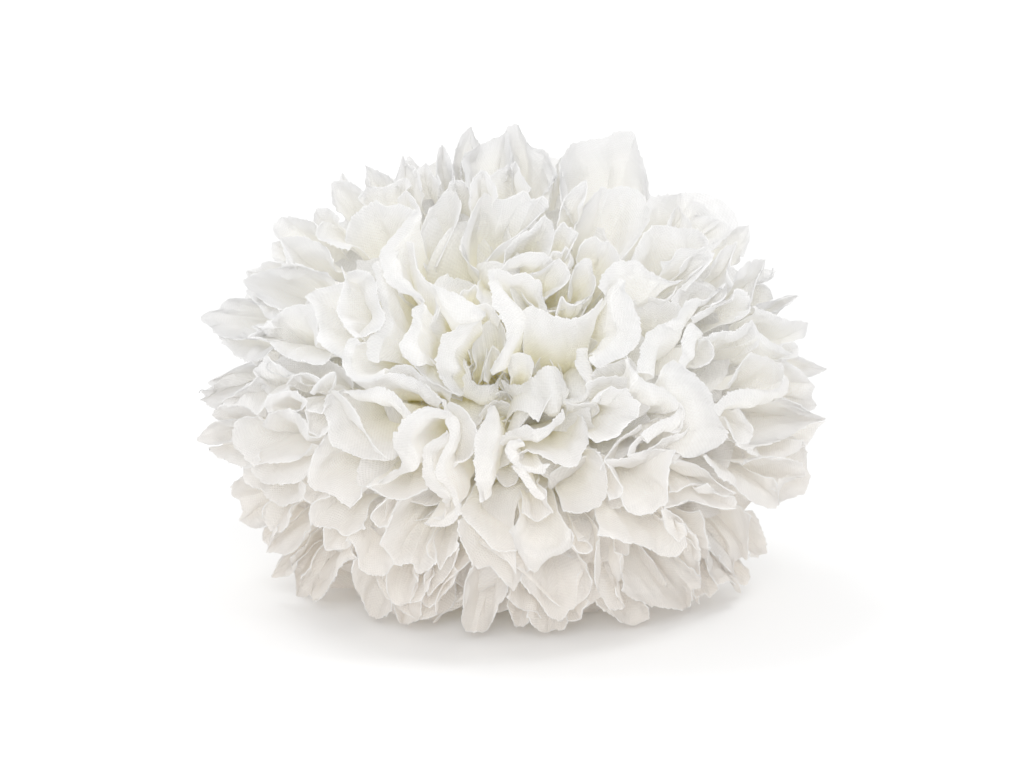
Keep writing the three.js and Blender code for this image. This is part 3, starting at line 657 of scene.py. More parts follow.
     "fold": "627,360 631,372 638,383 647,391 656,396 665,399 671,404 676,410"},
    {"heart": "622,410", "rise": 0, "edge": "585,385 597,378 612,376 627,377 639,383 645,395 650,408"},
    {"heart": "672,440", "rise": 3,
     "edge": "674,360 686,368 698,378 707,389 713,401 717,413 722,425 728,434 722,443 712,449 700,454",
     "fold": "662,370 668,381 678,391 687,401 693,413 695,427 692,440 688,449 682,456"},
    {"heart": "655,445", "rise": 3, "edge": "640,434 650,426 661,420 671,417 678,411 681,403",
     "fold": "645,440 655,433 664,427 672,424 679,419 683,410"},
    {"heart": "670,420", "rise": 3, "edge": "678,402 684,410 683,421 680,431 673,433 666,429 660,424"},
    {"heart": "645,448", "rise": 2, "edge": "627,455 631,445 638,438 646,434"},
    {"heart": "660,462", "rise": 2, "edge": "627,455 641,453 655,446 664,438 674,435 684,432 690,426"},
    {"heart": "640,475", "rise": 1, "edge": "605,460 620,459 634,456 646,452 658,449 670,452 680,455"},
    {"heart": "745,425", "rise": (3, 3, 2),
     "edge": "713,409 719,399 729,392 742,389 757,390 771,390 780,386 785,376",
     "fold": "719,416 727,407 738,401 750,398 762,396 773,394 782,391 788,383"},
    {"heart": "772,422", "rise": 0,
     "edge": "735,445 750,448 766,445 781,440 795,433 808,425 826,419 812,413 800,405 785,398"},
    {"heart": "738,425", "rise": 1,
     "edge": "725,418 730,432 736,443 746,443 752,437 752,427 744,417 738,409"},
    {"heart": "760,375", "rise": 1,
     "edge": "728,385 736,372 744,360 751,354 762,356 774,360 783,368 785,379 779,388"},
    {"heart": "790,388", "rise": 0,
     "edge": "782,358 795,367 806,377 814,387 811,396 817,405 810,412 800,409"},
    {"heart": "798,365", "rise": -2, "edge": "790,352 802,358 814,364 826,369 818,374 808,377 800,372"},
    {"heart": "700,480", "rise": 2,
     "edge": "668,463 682,462 695,465 706,471 716,481 727,489 735,493 726,495 717,492 706,483"},
    {"heart": "748,478", "rise": 3,
     "edge": "703,456 711,465 720,477 732,485 745,496 757,505 768,508 779,506 779,494 777,484"},
    {"heart": "768,474", "rise": 2,
     "edge": "748,462 760,458 775,457 790,459 801,464 805,475 794,479 784,484 779,492"},
    {"heart": "765,452", "rise": 0, "edge": "735,444 748,452 762,457 777,459 790,455 800,448 803,440"},
    {"heart": "792,470", "rise": -2,
     "edge": "803,442 807,452 807,467 810,482 806,492 797,496 788,499 780,503"},
    {"heart": "800,430", "rise": -3, "edge": "826,421 818,427 813,437 808,444 800,448"},
    {"heart": "645,482", "rise": 4,
     "edge": "622,500 628,511 640,515 652,514 660,507 668,502 667,488 668,472 672,459 676,450"},
    {"heart": "700,490", "rise": 2,
     "edge": "664,508 676,505 690,500 702,504 713,507 726,509 735,508 735,497 722,496 712,491"},
    {"heart": "690,478", "rise": 1, "edge": "669,492 678,491 686,486 694,484 702,485 712,490"},
    {"heart": "610,470", "rise": 2, "edge": "604,460 610,468 616,478 623,489 617,497 609,500"},
    {"heart": "622,458", "rise": 0, "edge": "600,470 605,459 612,449 620,440 630,432 641,424"},
]


def deselect():
    """Selects nothing."""
    bpy.ops.object.select_all(action="DESELECT")


def choose(*objects):
    """Selects these objects alone, the last of them active."""
    deselect()
    for item in objects:
        item.select_set(True)
    bpy.context.view_layer.objects.active = objects[-1]


def copied(original):
    """A copy of an object with a mesh of its own, in the scene."""
    piece = original.copy()
    piece.data = original.data.copy()
    bpy.context.scene.collection.objects.link(piece)
    return piece


def joined(*pieces):
    """The pieces joined into the last of them."""
    choose(*pieces)
    bpy.ops.object.join()
    return bpy.context.object


def finished(name, piece, material):
    """Names a piece, smooths it but for its sharp edges, and gives it its material."""
    choose(piece)
    piece.name = piece.data.name = name
    bpy.ops.object.shade_smooth_by_angle(angle=SMOOTH_ANGLE)
    piece.data.materials.append(material)
    return piece


def apply_modifier(piece, kind, **settings):
    """Gives a piece a modifier with these settings, and applies it."""
    choose(piece)
    modifier = piece.modifiers.new(kind.title(), kind)
    for name, value in settings.items():
        setattr(modifier, name, value)
    bpy.ops.object.modifier_apply(modifier=modifier.name)


class Draw:
    """A repeatable draw of numbers from 0 to 1."""

    FACTOR = 16807
    LIMIT = 2 ** 31 - 1
    SEEDS = 1e6

    def __init__(self, seed):
        self.state = seed

    def next(self):
        self.state = self.state * self.FACTOR % self.LIMIT
        return self.state / self.LIMIT

    def between(self, least, most):
        return least + (most - least) * self.next()

    def spread(self, size):
        return (self.next() * 2 - 1) * size

    def bell(self, size):
        middle = 3 / 2
        return (self.next() + self.next() + self.next() - middle) / middle * size

    def phase(self):
        return self.next() * 2 * math.pi

    def seed(self):
        return 1 + int(self.next() * self.SEEDS)


class Field:
    """A smooth wavy field in space: plane waves about one length, in directions of their own."""

    LENGTHS = (0.8, 1.3)

    def __init__(self, seed, count, length):
        draw = Draw(seed)
        self.ways = []
        self.starts = []
        for _ in range(count):
            rise = draw.spread(1)
            turn = draw.phase()
            level = math.sqrt(1 - rise * rise)
            rate = 2 * math.pi / (length * draw.between(*self.LENGTHS))
            way = np.array([level * math.cos(turn), level * math.sin(turn), rise])
            self.ways.append(way * rate)
            self.starts.append(draw.phase())

    def at(self, points):
        phases = points @ np.array(self.ways).T + np.array(self.starts)
        return np.sin(phases).sum(axis=-1) / math.sqrt(len(self.ways))


# What pushes neighbouring petals together, what they share in shape, and the relief of the cloth: each
# field's seed, how many waves it has, and their length.
PRESS = Field(11, 8, 23)
SLIDE = Field(29, 7, 26)
STRETCH = Field(53, 7, 34)
LEAN = Field(71, 6, 55)
PHASE = Field(97, 6, 45)
CURLING = Field(131, 6, 50)
WRINKLE = Field(151, 10, 11)
CRUMPLE = Field(173, 14, 4.5)

# The head's own directions: out of its face, to its right, and to its crown.
FACE = np.array([
    math.sin(FACE_YAW) * math.cos(FACE_TILT),
    -math.cos(FACE_YAW) * math.cos(FACE_TILT),
    math.sin(FACE_TILT),
])
RIGHT = np.array([math.cos(FACE_YAW), math.sin(FACE_YAW), 0.0])
CROWN = np.cross(RIGHT, FACE) * (1 if np.cross(RIGHT, FACE)[2] > 0 else -1)


def along(line, where):
    """A value read off a line of (where, value) points."""
    return float(np.interp(where, [point[0] for point in line], [point[1] for point in line]))


def rim_way(turn):
    """The direction from the face axis to the rim, at a turn round the axis."""
    return RIGHT * math.cos(turn) + CROWN * math.sin(turn)


def round_way(turn):
    """The direction round the face axis, at a turn round it."""
    return -RIGHT * math.sin(turn) + CROWN * math.cos(turn)


def out_way(angle, turn):
    """The direction out from the middle, at an angle from the face axis and a turn round it."""
    return np.multiply.outer(np.sin(angle), rim_way(turn)) + np.multiply.outer(np.cos(angle), FACE)


def away_way(angle, turn):
    """The direction away from the face axis, across out_way."""
    return np.multiply.outer(np.cos(angle), rim_way(turn)) - np.multiply.outer(np.sin(angle), FACE)


def reach(angle, turn):
    """How far the petals' tips are from the middle."""
    up = max(0.0, math.sin(angle) * math.sin(turn))
    return along(REACH, angle / DEGREE) * (1 - TOP_SETTLING * up * up)


def petal_shapes():
    """Each petal's own place and shape, by the golden angle and a seeded draw."""
    draw = Draw(FILLER_SEED)
    first, last = math.cos(FIRST_ANGLE), math.cos(LAST_ANGLE)
    shapes = []
    for index in range(PETALS):
        even = math.acos(first + (last - first) * (index + 0.5) / PETALS)
        turn = index * GOLDEN_ANGLE + draw.spread(BY_CHANCE["turn"])
        angle = even + draw.spread(BY_CHANCE["angle"])
        way = out_way(angle, turn)
        shorter = along(FILLER_SHORTER, float(way @ TO_CAMERA))
        tip = reach(even, turn) * (1 + draw.spread(BY_CHANCE["tip"])) * (1 - shorter)
        room = (MIDDLE[2] - ROOM_BELOW) / -way[2] if way[2] < POINTS_DOWN else tip
        if room < tip:
            tip = room + KEPT_BELOW * (tip - room)
        degrees = even / DEGREE
        spot = way * TOGETHER_RADIUS
        shared_curl = along(CURL, degrees) + TOGETHER["curl"] * float(CURLING.at(spot))
        shapes.append({
            "index": index,
            "angle": angle,
            "turn": turn,
            "tip": tip,
            "half_width": along(WIDTH, degrees) * (1 + draw.spread(BY_CHANCE["width"])) / 2,
            "roll": draw.bell(BY_CHANCE["roll"]) + TOGETHER["roll"] * float(LEAN.at(spot)),
            "bend": BEND + draw.spread(BY_CHANCE["bend"]),
            "curl": max(LEAST_CURL, shared_curl + draw.spread(BY_CHANCE["curl"])),
            "cup": draw.spread(BY_CHANCE["cup"]) + along(CUP, degrees),
            "roundness": draw.between(*ROUNDNESS),
            "point": draw.between(*POINT),
            "peak": draw.spread(BY_CHANCE["peak"]),
            "corner": draw.between(*CORNER),
            "phase": TOGETHER["phase"] * float(PHASE.at(spot)) + draw.spread(BY_CHANCE["phase"]),
            "edge_phase": draw.phase(),
            "ruffle": draw.between(*RUFFLE_STRENGTH) * along(RUFFLE, degrees),
            "drift": draw.between(*DRIFT),
            "folds": draw.between(*FOLDS),
            "lip": max(0.0, LIP_TURN + draw.bell(BY_CHANCE["lip"])),
            "lip_way": 1 if draw.next() < LIP_OUTWARDS else LIP_INWARDS,
            "lip_share": draw.between(*LIP_SHARE),
            "lip_wave": draw.spread(BY_CHANCE["lip_wave"]),
            "lip_phase": draw.phase(),
            "weave_turn": draw.spread(math.pi / 2),
            "tone": draw.next(),
            "seed": draw.seed(),
        })
    return shapes


def slant(shape, share):
    """The midrib's slant away from the direction of its root, at a share of the way to its tip."""
    curled = np.clip((share - CURL_FROM) / CURL_OVER, 0, CURL_MOST)
    return ROOT_SLANT + shape["bend"] * share + shape["curl"] * curled ** 2


def midrib(shape):
    """The midrib in its own plane, out and aside from the middle, its length, and its root's angle."""
    leans = slant(shape, (np.arange(MIDRIB_STEPS) + 0.5) / MIDRIB_STEPS)
    out = np.concatenate([[0], np.cumsum(np.cos(leans))]) / MIDRIB_STEPS
    aside = np.concatenate([[0], np.cumsum(np.sin(leans))]) / MIDRIB_STEPS
    square = out[-1] ** 2 + aside[-1] ** 2
    half = ROOT_RADIUS * out[-1]
    left = square * (ROOT_RADIUS ** 2 - shape["tip"] ** 2)
    length = (math.sqrt(half * half - left) - half) / square
    out = ROOT_RADIUS + length * out
    aside = length * aside
    return out, aside, length, shape["angle"] - math.atan2(aside[-1], out[-1])


def ragged(draw, where, waves, slowest):
    """An uneven line: waves that get shorter and lower, with values about -1 to 1."""
    total = np.zeros_like(where)
    for step in range(waves):
        rate = slowest * (step + 1) * draw.between(*CUT_RATES)
        total += np.sin(2 * math.pi * rate * where + draw.phase()) / (step + 1) ** CUT_FALL
    return total / 2


def frayed(draw, count):
    """How far the cloth's threads stand out at each point of a rim, as shares, of which most are small."""
    return np.array([draw.spread(1) ** 3 for _ in range(count)])


def smooth_step(share):
    """An even rise from 0 to 1."""
    return share ** 2 * (3 - 2 * share)


def cut_outline(shape, across, up, length):
    """Where the sheet's points come to lie in a petal's own cut outline, across it and up it, as shares."""
    draw = Draw(shape["seed"])
    fray = FRAY * frayed(draw, len(across))
    widening = np.clip(up / WIDEST_AT, 0, 1)
    closing = np.clip((up - WIDEST_AT) / (1 - WIDEST_AT), 0, 1)
    opened = ROOT_WIDTH_SHARE + (1 - ROOT_WIDTH_SHARE) * smooth_step(widening)
    width = opened * (1 - (1 - shape["corner"]) * closing ** 2)
    size, *waves = SIDE_CUTS
    side_cut = size * ragged(draw, up * np.sign(across) + SIDES_START, *waves)
    side_cut = side_cut * np.abs(across) ** SIDE_POWER
    side_fray = np.where(np.abs(across) > AT_RIM, fray / shape["half_width"], 0)
    across = across * (1 + (side_cut + side_fray) * np.clip(up * SIDE_GROWTH, 0, 1))
    from_peak = np.abs(across - shape["peak"]) / (1 + abs(shape["peak"]))
    peak = shape["point"] * np.clip(1 - from_peak, 0, 1) ** POINT_POWER
    end = END_SHARE - shape["roundness"] * np.abs(across) ** CORNER_POWER + peak
    size, *waves = END_CUTS
    end += size * ragged(draw, across, *waves)
    end += np.where(up > AT_RIM, fray / length, 0)
    return across * width, up * (1 + (end - 1) * up ** 3)


def folded_section(shape, flat, share, rise):
    """A petal's section, which cups, ruffles and rolls: how far it goes aside and deep, and its lean."""

    def lean_at(side):
        phase = math.pi * shape["folds"] * side + shape["phase"] + shape["drift"] * share
        fold = shape["ruffle"] * np.sin(phase)
        phase = 2 * math.pi * FLUTTER_WAVES * share + shape["edge_phase"] + FLUTTER_DRIFT * side
        flutter = FLUTTER * np.sin(phase) * np.abs(side)
        return shape["cup"] * side + rise * (fold + flutter) + shape["roll"] * share

    sideways = np.zeros_like(flat)
    deep = np.zeros_like(flat)
    for step in range(CROSS_STEPS):
        lean = lean_at(flat * (step + 0.5) / CROSS_STEPS)
        sideways += np.cos(lean) * flat * shape["half_width"] / CROSS_STEPS
        deep += np.sin(lean) * flat * shape["half_width"] / CROSS_STEPS
    return sideways, deep, lean_at(flat)


def turned_lip(shape, flat, share, length):
    """The end turns over in a lip of even curvature: how far up the midrib points go, and how far off it."""
    wave, rate = LIP_START_WAVE
    start = 1 - shape["lip_share"] * (1 + wave * np.sin(rate * flat + shape["lip_phase"]))
    turned = 1 + shape["lip_wave"] * np.sin(LIP_TURN_RATE * flat + shape["lip_phase"])
    bending = shape["lip"] * shape["lip_way"] * turned / (1 - start)
    bending = np.where(np.abs(bending) < LEAST_BENDING, LEAST_BENDING, bending)
    over = np.maximum(share - start, 0)
    going = np.where(over > 0, start + np.sin(bending * over) / bending, share)
    return going, length * (1 - np.cos(bending * over)) / bending


def petal_points(shape, across, up):
    """The middle surface of a petal, for points across it from -1 to 1 and up it from 0 to 1."""
    out, aside, length, root_angle = midrib(shape)
    flat, share = cut_outline(shape, across, up, length)
    rise = np.clip((share - RUFFLED_FROM) / RUFFLED_OVER, 0, 1) ** RUFFLED_POWER
    sideways, deep, lean = folded_section(shape, flat, share, rise)
    going, lifted = turned_lip(shape, flat, share, length)

    # The cloth is crumpled, and creased along the midrib.
    true_flat = flat * shape["half_width"]
    place = np.stack([true_flat, share * length, np.full_like(flat, FILLER_APART * shape["index"])], -1)
    lifted += FILLER_CRUMPLE * CRUMPLE.at(place) * rise
    lifted -= RIB_DEPTH * np.exp(-(true_flat / RIB_BREADTH) ** 2) * np.clip(RIB_TO - share, 0, 1)

    steps = np.linspace(0, 1, MIDRIB_STEPS + 1)
    lean_out = slant(shape, np.clip(going, 0, 1))
    past = np.maximum(going - 1, 0) * length
    rib_out = np.interp(going, steps, out) + past * np.cos(lean_out)
    rib_aside = np.interp(going, steps, aside) + past * np.sin(lean_out)
    turn = shape["turn"]
    points = np.outer(rib_out, out_way(root_angle, turn))
    points += np.outer(rib_aside, away_way(root_angle, turn))
    points += np.outer(sideways - np.sin(lean) * lifted, round_way(turn))
    points += (np.cos(lean) * lifted - deep)[:, None] * away_way(root_angle + lean_out, turn)
    return pressed(points, turn), {"flat": true_flat, "up": share * length, "share": share}


def laid(points):
    """Points moved up, softly, where they would go through the surface that the flower lies on."""
    height = points[:, 2]
    bend = LYING_HEIGHT + BEND_HEIGHT
    lying = LYING_HEIGHT + BEND_HEIGHT * np.exp(np.minimum(height - bend, 0) / BEND_HEIGHT)
    points[:, 2] = np.where(height < bend, lying, height)
    return points


def pressed(points, turn):
    """Neighbouring petals are pressed into waves together, and what meets the surface lies on it."""
    far = np.linalg.norm(points, axis=1)
    yielding = np.clip((far - PRESSED_FROM) / PRESSED_OVER, 0, PRESSED_MOST)[:, None]
    way = points / far[:, None]
    angle = np.arccos(np.clip(way @ FACE, -1, 1))
    moved = points + PRESSED_AWAY * yielding * PRESS.at(points)[:, None] * away_way(angle, turn)
    moved += PRESSED_ROUND * yielding * SLIDE.at(points)[:, None] * round_way(turn)
    moved += PRESSED_OUT * yielding * STRETCH.at(points)[:, None] * way

    # Backs that would reach the calyx lie on its sepals.
    behind = -(moved @ FACE)
    radius = np.linalg.norm(moved + np.outer(behind, FACE), axis=1)
    cup_radius = max(radius for radius, _ in CALYX_OUTLINE)
    sepals = SEPAL_START + (np.maximum(radius, cup_radius) - SEPAL_ROWS[0][0]) * SEPAL_SLOPE
    room = np.where(radius < SEPAL_ROWS[-1][0] + SEPAL_MARGIN, sepals - SEPAL_CLEARANCE, behind)
    moved += np.outer(np.maximum(behind - room, 0), FACE)
    return laid(moved + MIDDLE)


def picture_point(pixel, toward):
    """The place seen at a pixel, this far towards the camera from the head's middle, above the surface."""
    side = (pixel[0] - PICTURE_MIDDLE[0]) * PIXEL * PICTURE_RIGHT
    high = (PICTURE_MIDDLE[1] - pixel[1]) * PIXEL * PICTURE_UP
    lowest = (LYING_HEIGHT - AIM[2] - high[2]) / (TO_CAMERA[2] - high[2] / CAMERA_DISTANCE)
    toward = max(toward, lowest)
    return AIM + toward * TO_CAMERA + (side + high) * (CAMERA_DISTANCE - toward) / CAMERA_DISTANCE


def front(pixel):
    """How far the head's rounded front stands out at a pixel."""
    side = (pixel[0] - HEAD_PIXEL[0]) * PIXEL / FRONT_REACH[0]
    high = (HEAD_PIXEL[1] - pixel[1]) * PIXEL
    high = high / (FRONT_REACH[1] if high > 0 else FRONT_REACH[2])
    return along(FRONT, math.hypot(side, high))


def pixels(text):
    """A line of pixels from its text."""
    return np.array([[float(number) for number in pair.split(",")] for pair in text.split()])


def traced(text, rise):
    """Places on the head's front for a line of pixels, raised all along or at its start, middle and end."""
    line = pixels(text)
    rises = np.interp(np.linspace(0, 1, len(line)), (0, 0.5, 1), np.broadcast_to(rise, 3))
    return np.array([picture_point(pixel, front(pixel) + up) for pixel, up in zip(line, rises)])


def step_lengths(points):
    """The length of each step along a line of points."""
    return np.linalg.norm(np.diff(points, axis=0), axis=1)


def length_so_far(points):
    """The length of a line of points up to each of them."""
    return np.concatenate([[0], np.cumsum(step_lengths(points))])


def smooth_line(points, shares):
    """Points along a smooth line through these points, at these shares of its length."""
    knots = length_so_far(points)
    knots = knots / knots[-1]
    slopes = np.gradient(points, knots, axis=0)
    cell = np.clip(np.searchsorted(knots, shares, side="right") - 1, 0, len(knots) - 2)
    size = (knots[cell + 1] - knots[cell])[:, None]
    part = (shares - knots[cell])[:, None] / size
    ahead, back = points[cell + 1], points[cell]
    smooth = (
        (2 * part ** 3 - 3 * part ** 2 + 1) * back
        + (part ** 3 - 2 * part ** 2 + part) * size * slopes[cell]
        + (3 * part ** 2 - 2 * part ** 3) * ahead
        + (part ** 3 - part ** 2) * size * slopes[cell + 1]
    )
    return smooth + CORNERS * (back + part * (ahead - back) - smooth)


def bent(first, middle, last, share):
    """A quadratic curve between two points, drawn towards a third."""
    share = share[:, None]
    return (1 - share) ** 2 * first + 2 * share * (1 - share) * middle + share ** 2 * last


def unit(vectors):
    """The vectors at length 1."""
    return vectors / np.maximum(np.linalg.norm(vectors, axis=-1, keepdims=True), LEAST_LENGTH)


def open_sheet(petal, root, edge, across, up):
    """A petal that opens to its edge: a curve from the root past its base and in front of its hollow."""
    first, last = petal["edge_line"][0], petal["edge_line"][-1]
    base = petal["base_point"] + np.outer(across / 2, (last - first) * BASE_BREADTH)
    before = base + NEARLY_OUT * (edge - base) - np.outer(1 - across ** 2, TO_CAMERA * HOLLOW)
    up = up[:, None]
    rest = 1 - up
    return rest ** 3 * root + 3 * rest ** 2 * up * base + 3 * rest * up ** 2 * before + up ** 3 * edge


def folded_sheet(petal, root, edge, brink, up):
    """A petal whose end turns over: a curve from the root past its heart to the fold, and one back down."""
    heart = petal["heart_point"]
    middle = heart + FOLD_BREADTH * (brink - heart)
    rising = bent(root, middle, brink, np.clip(up / FOLD_SHARE, 0, 1))
    strip = np.linalg.norm(edge - brink, axis=1, keepdims=True)
    over = brink + FOLD_SWING * strip * unit(brink - middle)
    turned = bent(brink, over, edge, np.clip((up - FOLD_SHARE) / (1 - FOLD_SHARE), 0, 1))
    return np.where((up > FOLD_SHARE)[:, None], turned, rising)


def seen_sheet(petal, across, up):
    """The smooth middle surface of a petal that the picture shows."""
    shares = np.clip((across + 1) / 2, 0, 1)
    edge = smooth_line(petal["edge_line"], shares)
    root = MIDDLE + ROOT_RADIUS * unit(petal["heart_point"] - MIDDLE)
    root = root + np.outer(across, petal["root_side"] * ROOT_HALF_WIDTH)
    if "fold_line" in petal:
        return folded_sheet(petal, root, edge, smooth_line(petal["fold_line"], shares), up)
    return open_sheet(petal, root, edge, across, up)


def measured(petal):
    """A traced petal's true length up its middle and its true half width, against the share up it."""
    steps = np.linspace(0, 1, MEASURED_CELLS + 1)
    sides = np.linspace(-1, 1, 2 * MEASURED_CELLS + 1)
    rib = seen_sheet(petal, np.zeros_like(steps), steps)
    rows = [seen_sheet(petal, sides, np.full_like(sides, step)) for step in steps]
    return steps, length_so_far(rib), np.array([step_lengths(row).sum() / 2 for row in rows])


def seen_petals():
    """The petals that the picture shows, with their lines in space."""
    draw = Draw(SEEN_SEED)
    petals = []
    for index, given in enumerate(SEEN_PETALS):
        petal = {"index": index, "tone": draw.next(), "weave_turn": draw.spread(math.pi / 2)}
        petal["seed"] = draw.seed()
        petal["edge_line"] = traced(given["edge"], given["rise"])
        if "fold" in given:
            petal["fold_line"] = traced(given["fold"], given["rise"])
        centre = traced(given["heart"], np.mean(given["rise"]) - HEART_DEPTH)[0]
        petal["heart_point"] = centre
        edge = pixels(given["edge"])
        base = (edge[0] + edge[-1]) / 2 + pixels(given["heart"])[0] - edge.mean(axis=0)
        petal["base_point"] = picture_point(base, front(base) + np.min(given["rise"]) - BASE_DEPTH)
        side = petal["edge_line"][-1] - petal["edge_line"][0]
        way = unit(centre - MIDDLE)
        petal["root_side"] = unit(side - way * float(side @ way))
        petal["half_width"] = float(step_lengths(petal["edge_line"]).sum()) / 2
        petal["tip"] = float(np.linalg.norm(petal["edge_line"].mean(axis=0) - MIDDLE))
        petals.append(petal)
    return petals


def slopes_of(petal, across, up):
    """Which way a traced petal's sheet goes across it and up it."""
    across = np.clip(across, -1 + STEP, 1 - STEP)
    up = np.clip(up, STEP, 1 - STEP)
    along_across = seen_sheet(petal, across + STEP, up) - seen_sheet(petal, across - STEP, up)
    along_up = seen_sheet(petal, across, up + STEP) - seen_sheet(petal, across, up - STEP)
    return along_across, along_up


def relief_of(petal, draw, across, up, place):
    """How far the cloth of a traced petal is wrinkled, crumpled and creased out of its smooth sheet."""
    relief = WRINKLE_HEIGHT * WRINKLE.at(place) + CRUMPLE_HEIGHT * CRUMPLE.at(place)
    highest = min(CREASE_HEIGHT, CREASE_SHARE * petal["half_width"])
    for _ in range(CREASES):
        line = draw.spread(CREASE_ASIDE) + draw.spread(CREASE_SLANT) * (up - CREASE_PIVOT)
        breadth = draw.between(*CREASE_BREADTH)
        relief += draw.spread(highest) * np.maximum(0, 1 - np.abs(across - line) / breadth)
    return relief * np.interp(up, RELIEF_GROWS, (0, 1))


def seen_points(petal, across, up):
    """The middle surface of a petal that the picture shows, with its relief and its ragged edge."""
    draw = Draw(petal["seed"])
    fray = FRAY * frayed(draw, len(across))
    steps, lengths, widths = measured(petal)
    flat = across * np.interp(up, steps, widths)
    length = np.interp(up, steps, lengths)
    place = np.stack([flat, length, np.full_like(flat, SEEN_APART * petal["index"])], -1)
    relief = relief_of(petal, draw, across, up, place)
    uneven = TEETH * ragged(draw, across * petal["half_width"] / TEETH_LENGTH, TEETH_WAVES, 1)
    teeth = np.where(up > AT_RIM, min(1, petal["half_width"] / TEETH_FULL_WIDTH) * (uneven + fray), 0)

    # Towards its edge a petal is only creased along the line of sight, so that its outline stays as traced.
    along_across, along_up = slopes_of(petal, across, up)
    normal = unit(np.cross(along_across, along_up))
    toward = np.where(normal @ TO_CAMERA < 0, -1, 1)[:, None] * TO_CAMERA
    normal = normal + (toward - normal) * (up ** SIGHT_POWER)[:, None]
    outward = unit(along_up)
    outward = unit(outward - np.outer(outward @ TO_CAMERA, TO_CAMERA))
    points = seen_sheet(petal, across, up) + normal * relief[:, None] + outward * teeth[:, None]
    return laid(points), {"flat": flat, "up": length, "share": up}


def petal_sheet(cells_across, cells_up, rim_cuts):
    """A flat sheet, across from -1 to 1 and up from 0 to 1, whose rim is cut finer for its frayed edge."""
    deselect()
    bpy.ops.mesh.primitive_grid_add(x_subdivisions=cells_across, y_subdivisions=cells_up, size=2)
    sheet = bpy.context.object
    sheet.name = "petal_sheet"
    bpy.ops.object.mode_set(mode="EDIT")
    bpy.ops.mesh.select_mode(type="EDGE")
    bpy.ops.mesh.select_all(action="DESELECT")
    mesh = bmesh.from_edit_mesh(sheet.data)
    for edge in mesh.edges:
        at_root = all(vertex.co.y < -AT_RIM for vertex in edge.verts)
        edge.select_set(edge.is_boundary and not at_root)
    bmesh.update_edit_mesh(sheet.data)
    bpy.ops.mesh.subdivide(number_cuts=rim_cuts, ngon=False)
    bpy.ops.object.mode_set(mode="OBJECT")
    return sheet


def mark_cloth(mesh, values):
    """Keeps what the cloth's material needs to know at each point."""
    for name, value in values.items():
        layer = mesh.attributes.new(name, "FLOAT", "POINT")
        layer.data.foreach_set("value", value.astype(np.float32))


def lay_out_cloth(mesh, shape, cloth):
    """Lays a petal flat on the cloth that it is cut from, turned its own way, as its UV map."""
    cosine, sine = math.cos(shape["weave_turn"]), math.sin(shape["weave_turn"])
    row, column = divmod(shape["index"], CUT_ROW)
    cloth_x = cloth["flat"] * cosine - cloth["up"] * sine + CUT_SQUARE * column
    cloth_y = cloth["flat"] * sine + cloth["up"] * cosine + CUT_SQUARE * row
    corners = np.empty(len(mesh.loops), np.int32)
    mesh.loops.foreach_get("vertex_index", corners)
    cut = np.stack([cloth_x, cloth_y], -1)[corners] * MM
    mesh.uv_layers[0].data.foreach_set("uv", cut.astype(np.float32).ravel())


def dye_at(points):
    """How much yellow dye the cloth has at its points."""
    far = np.linalg.norm(points - MIDDLE, axis=1)
    from_face = np.arccos(np.clip((points - MIDDLE) @ FACE / far, -1, 1)) / DEGREE
    head = np.interp(from_face, *DYE_REACH)
    return np.clip((DYE_FROM - far / head) / DYE_OVER, 0, 1) * np.interp(from_face, *DYE_FADING)


def petal_piece(sheet, shape, place):
    """A copy of the sheet, shaped as one petal."""
    piece = copied(sheet)
    mesh = piece.data
    count = len(mesh.vertices)
    flat = np.empty(count * 3, np.float32)
    mesh.vertices.foreach_get("co", flat)
    flat = flat.reshape(-1, 3).astype(float)
    across = flat[:, 0]
    up = 1 - (1 - (flat[:, 1] + 1) / 2) ** CLOSER
    points, cloth = place(shape, across, up)
    mesh.vertices.foreach_set("co", (points * MM).astype(np.float32).ravel())
    # The material paints a highlight by this distance to the rim, and shade towards the tips by the share up.
    rim = np.minimum((1 - np.abs(across)) * shape["half_width"], (1 - up) * shape["tip"])
    mark_cloth(mesh, {
        "rim": np.clip(rim, 0, RIM_MEASURED),
        "rise": np.clip(cloth["share"], 0, 1),
        "dye": dye_at(points),
        "tone": np.full(count, shape["tone"]),
    })
    lay_out_cloth(mesh, shape, cloth)
    mesh.update()
    return piece


def make_petals(name, cells, shapes, place, material):
    """Petals of one kind, joined into pieces of neighbours."""
    sheet = petal_sheet(*cells)
    pieces = []
    for first in range(0, len(shapes), PETALS_A_PIECE):
        petals = [petal_piece(sheet, shape, place) for shape in shapes[first:first + PETALS_A_PIECE]]
        piece = joined(*petals)
        apply_modifier(piece, "SOLIDIFY", thickness=CLOTH_THICKNESS * MM, offset=0)
        pieces.append(finished(f"{name}_{len(pieces) + 1}", piece, material))
    bpy.data.objects.remove(sheet)
    return pieces


def make_bloom(material):
    """The petals that the picture shows, and those behind and round them."""
    seen = make_petals("seen_petals", SEEN_CELLS, seen_petals(), seen_points, material)
    return seen + make_petals("filling_petals", FILLER_CELLS, petal_shapes(), petal_points, material)


def make_threads(material):
    """Threads that have come out of the cut edges, each with both ends in the cloth."""
    curve = bpy.data.curves.new("loose_threads", "CURVE")
    curve.dimensions = "3D"
    curve.bevel_depth = THREAD_RADIUS * MM
    curve.use_fill_caps = True
    for given in LOOSE_THREADS:
        points = smooth_line(traced(given["line"], given["rise"]), np.linspace(0, 1, THREAD_STEPS))
        spline = curve.splines.new("POLY")
        spline.points.add(THREAD_STEPS - 1)
        for point, place in zip(spline.points, points * MM):
            point.co = (*place, 1)
    threads = bpy.data.objects.new("loose_threads", curve)
    bpy.context.scene.collection.objects.link(threads)
    choose(threads)
    bpy.ops.object.convert(target="MESH")
    threads = bpy.context.object
    bpy.ops.object.shade_smooth()
    threads.data.materials.append(material)
    return threads


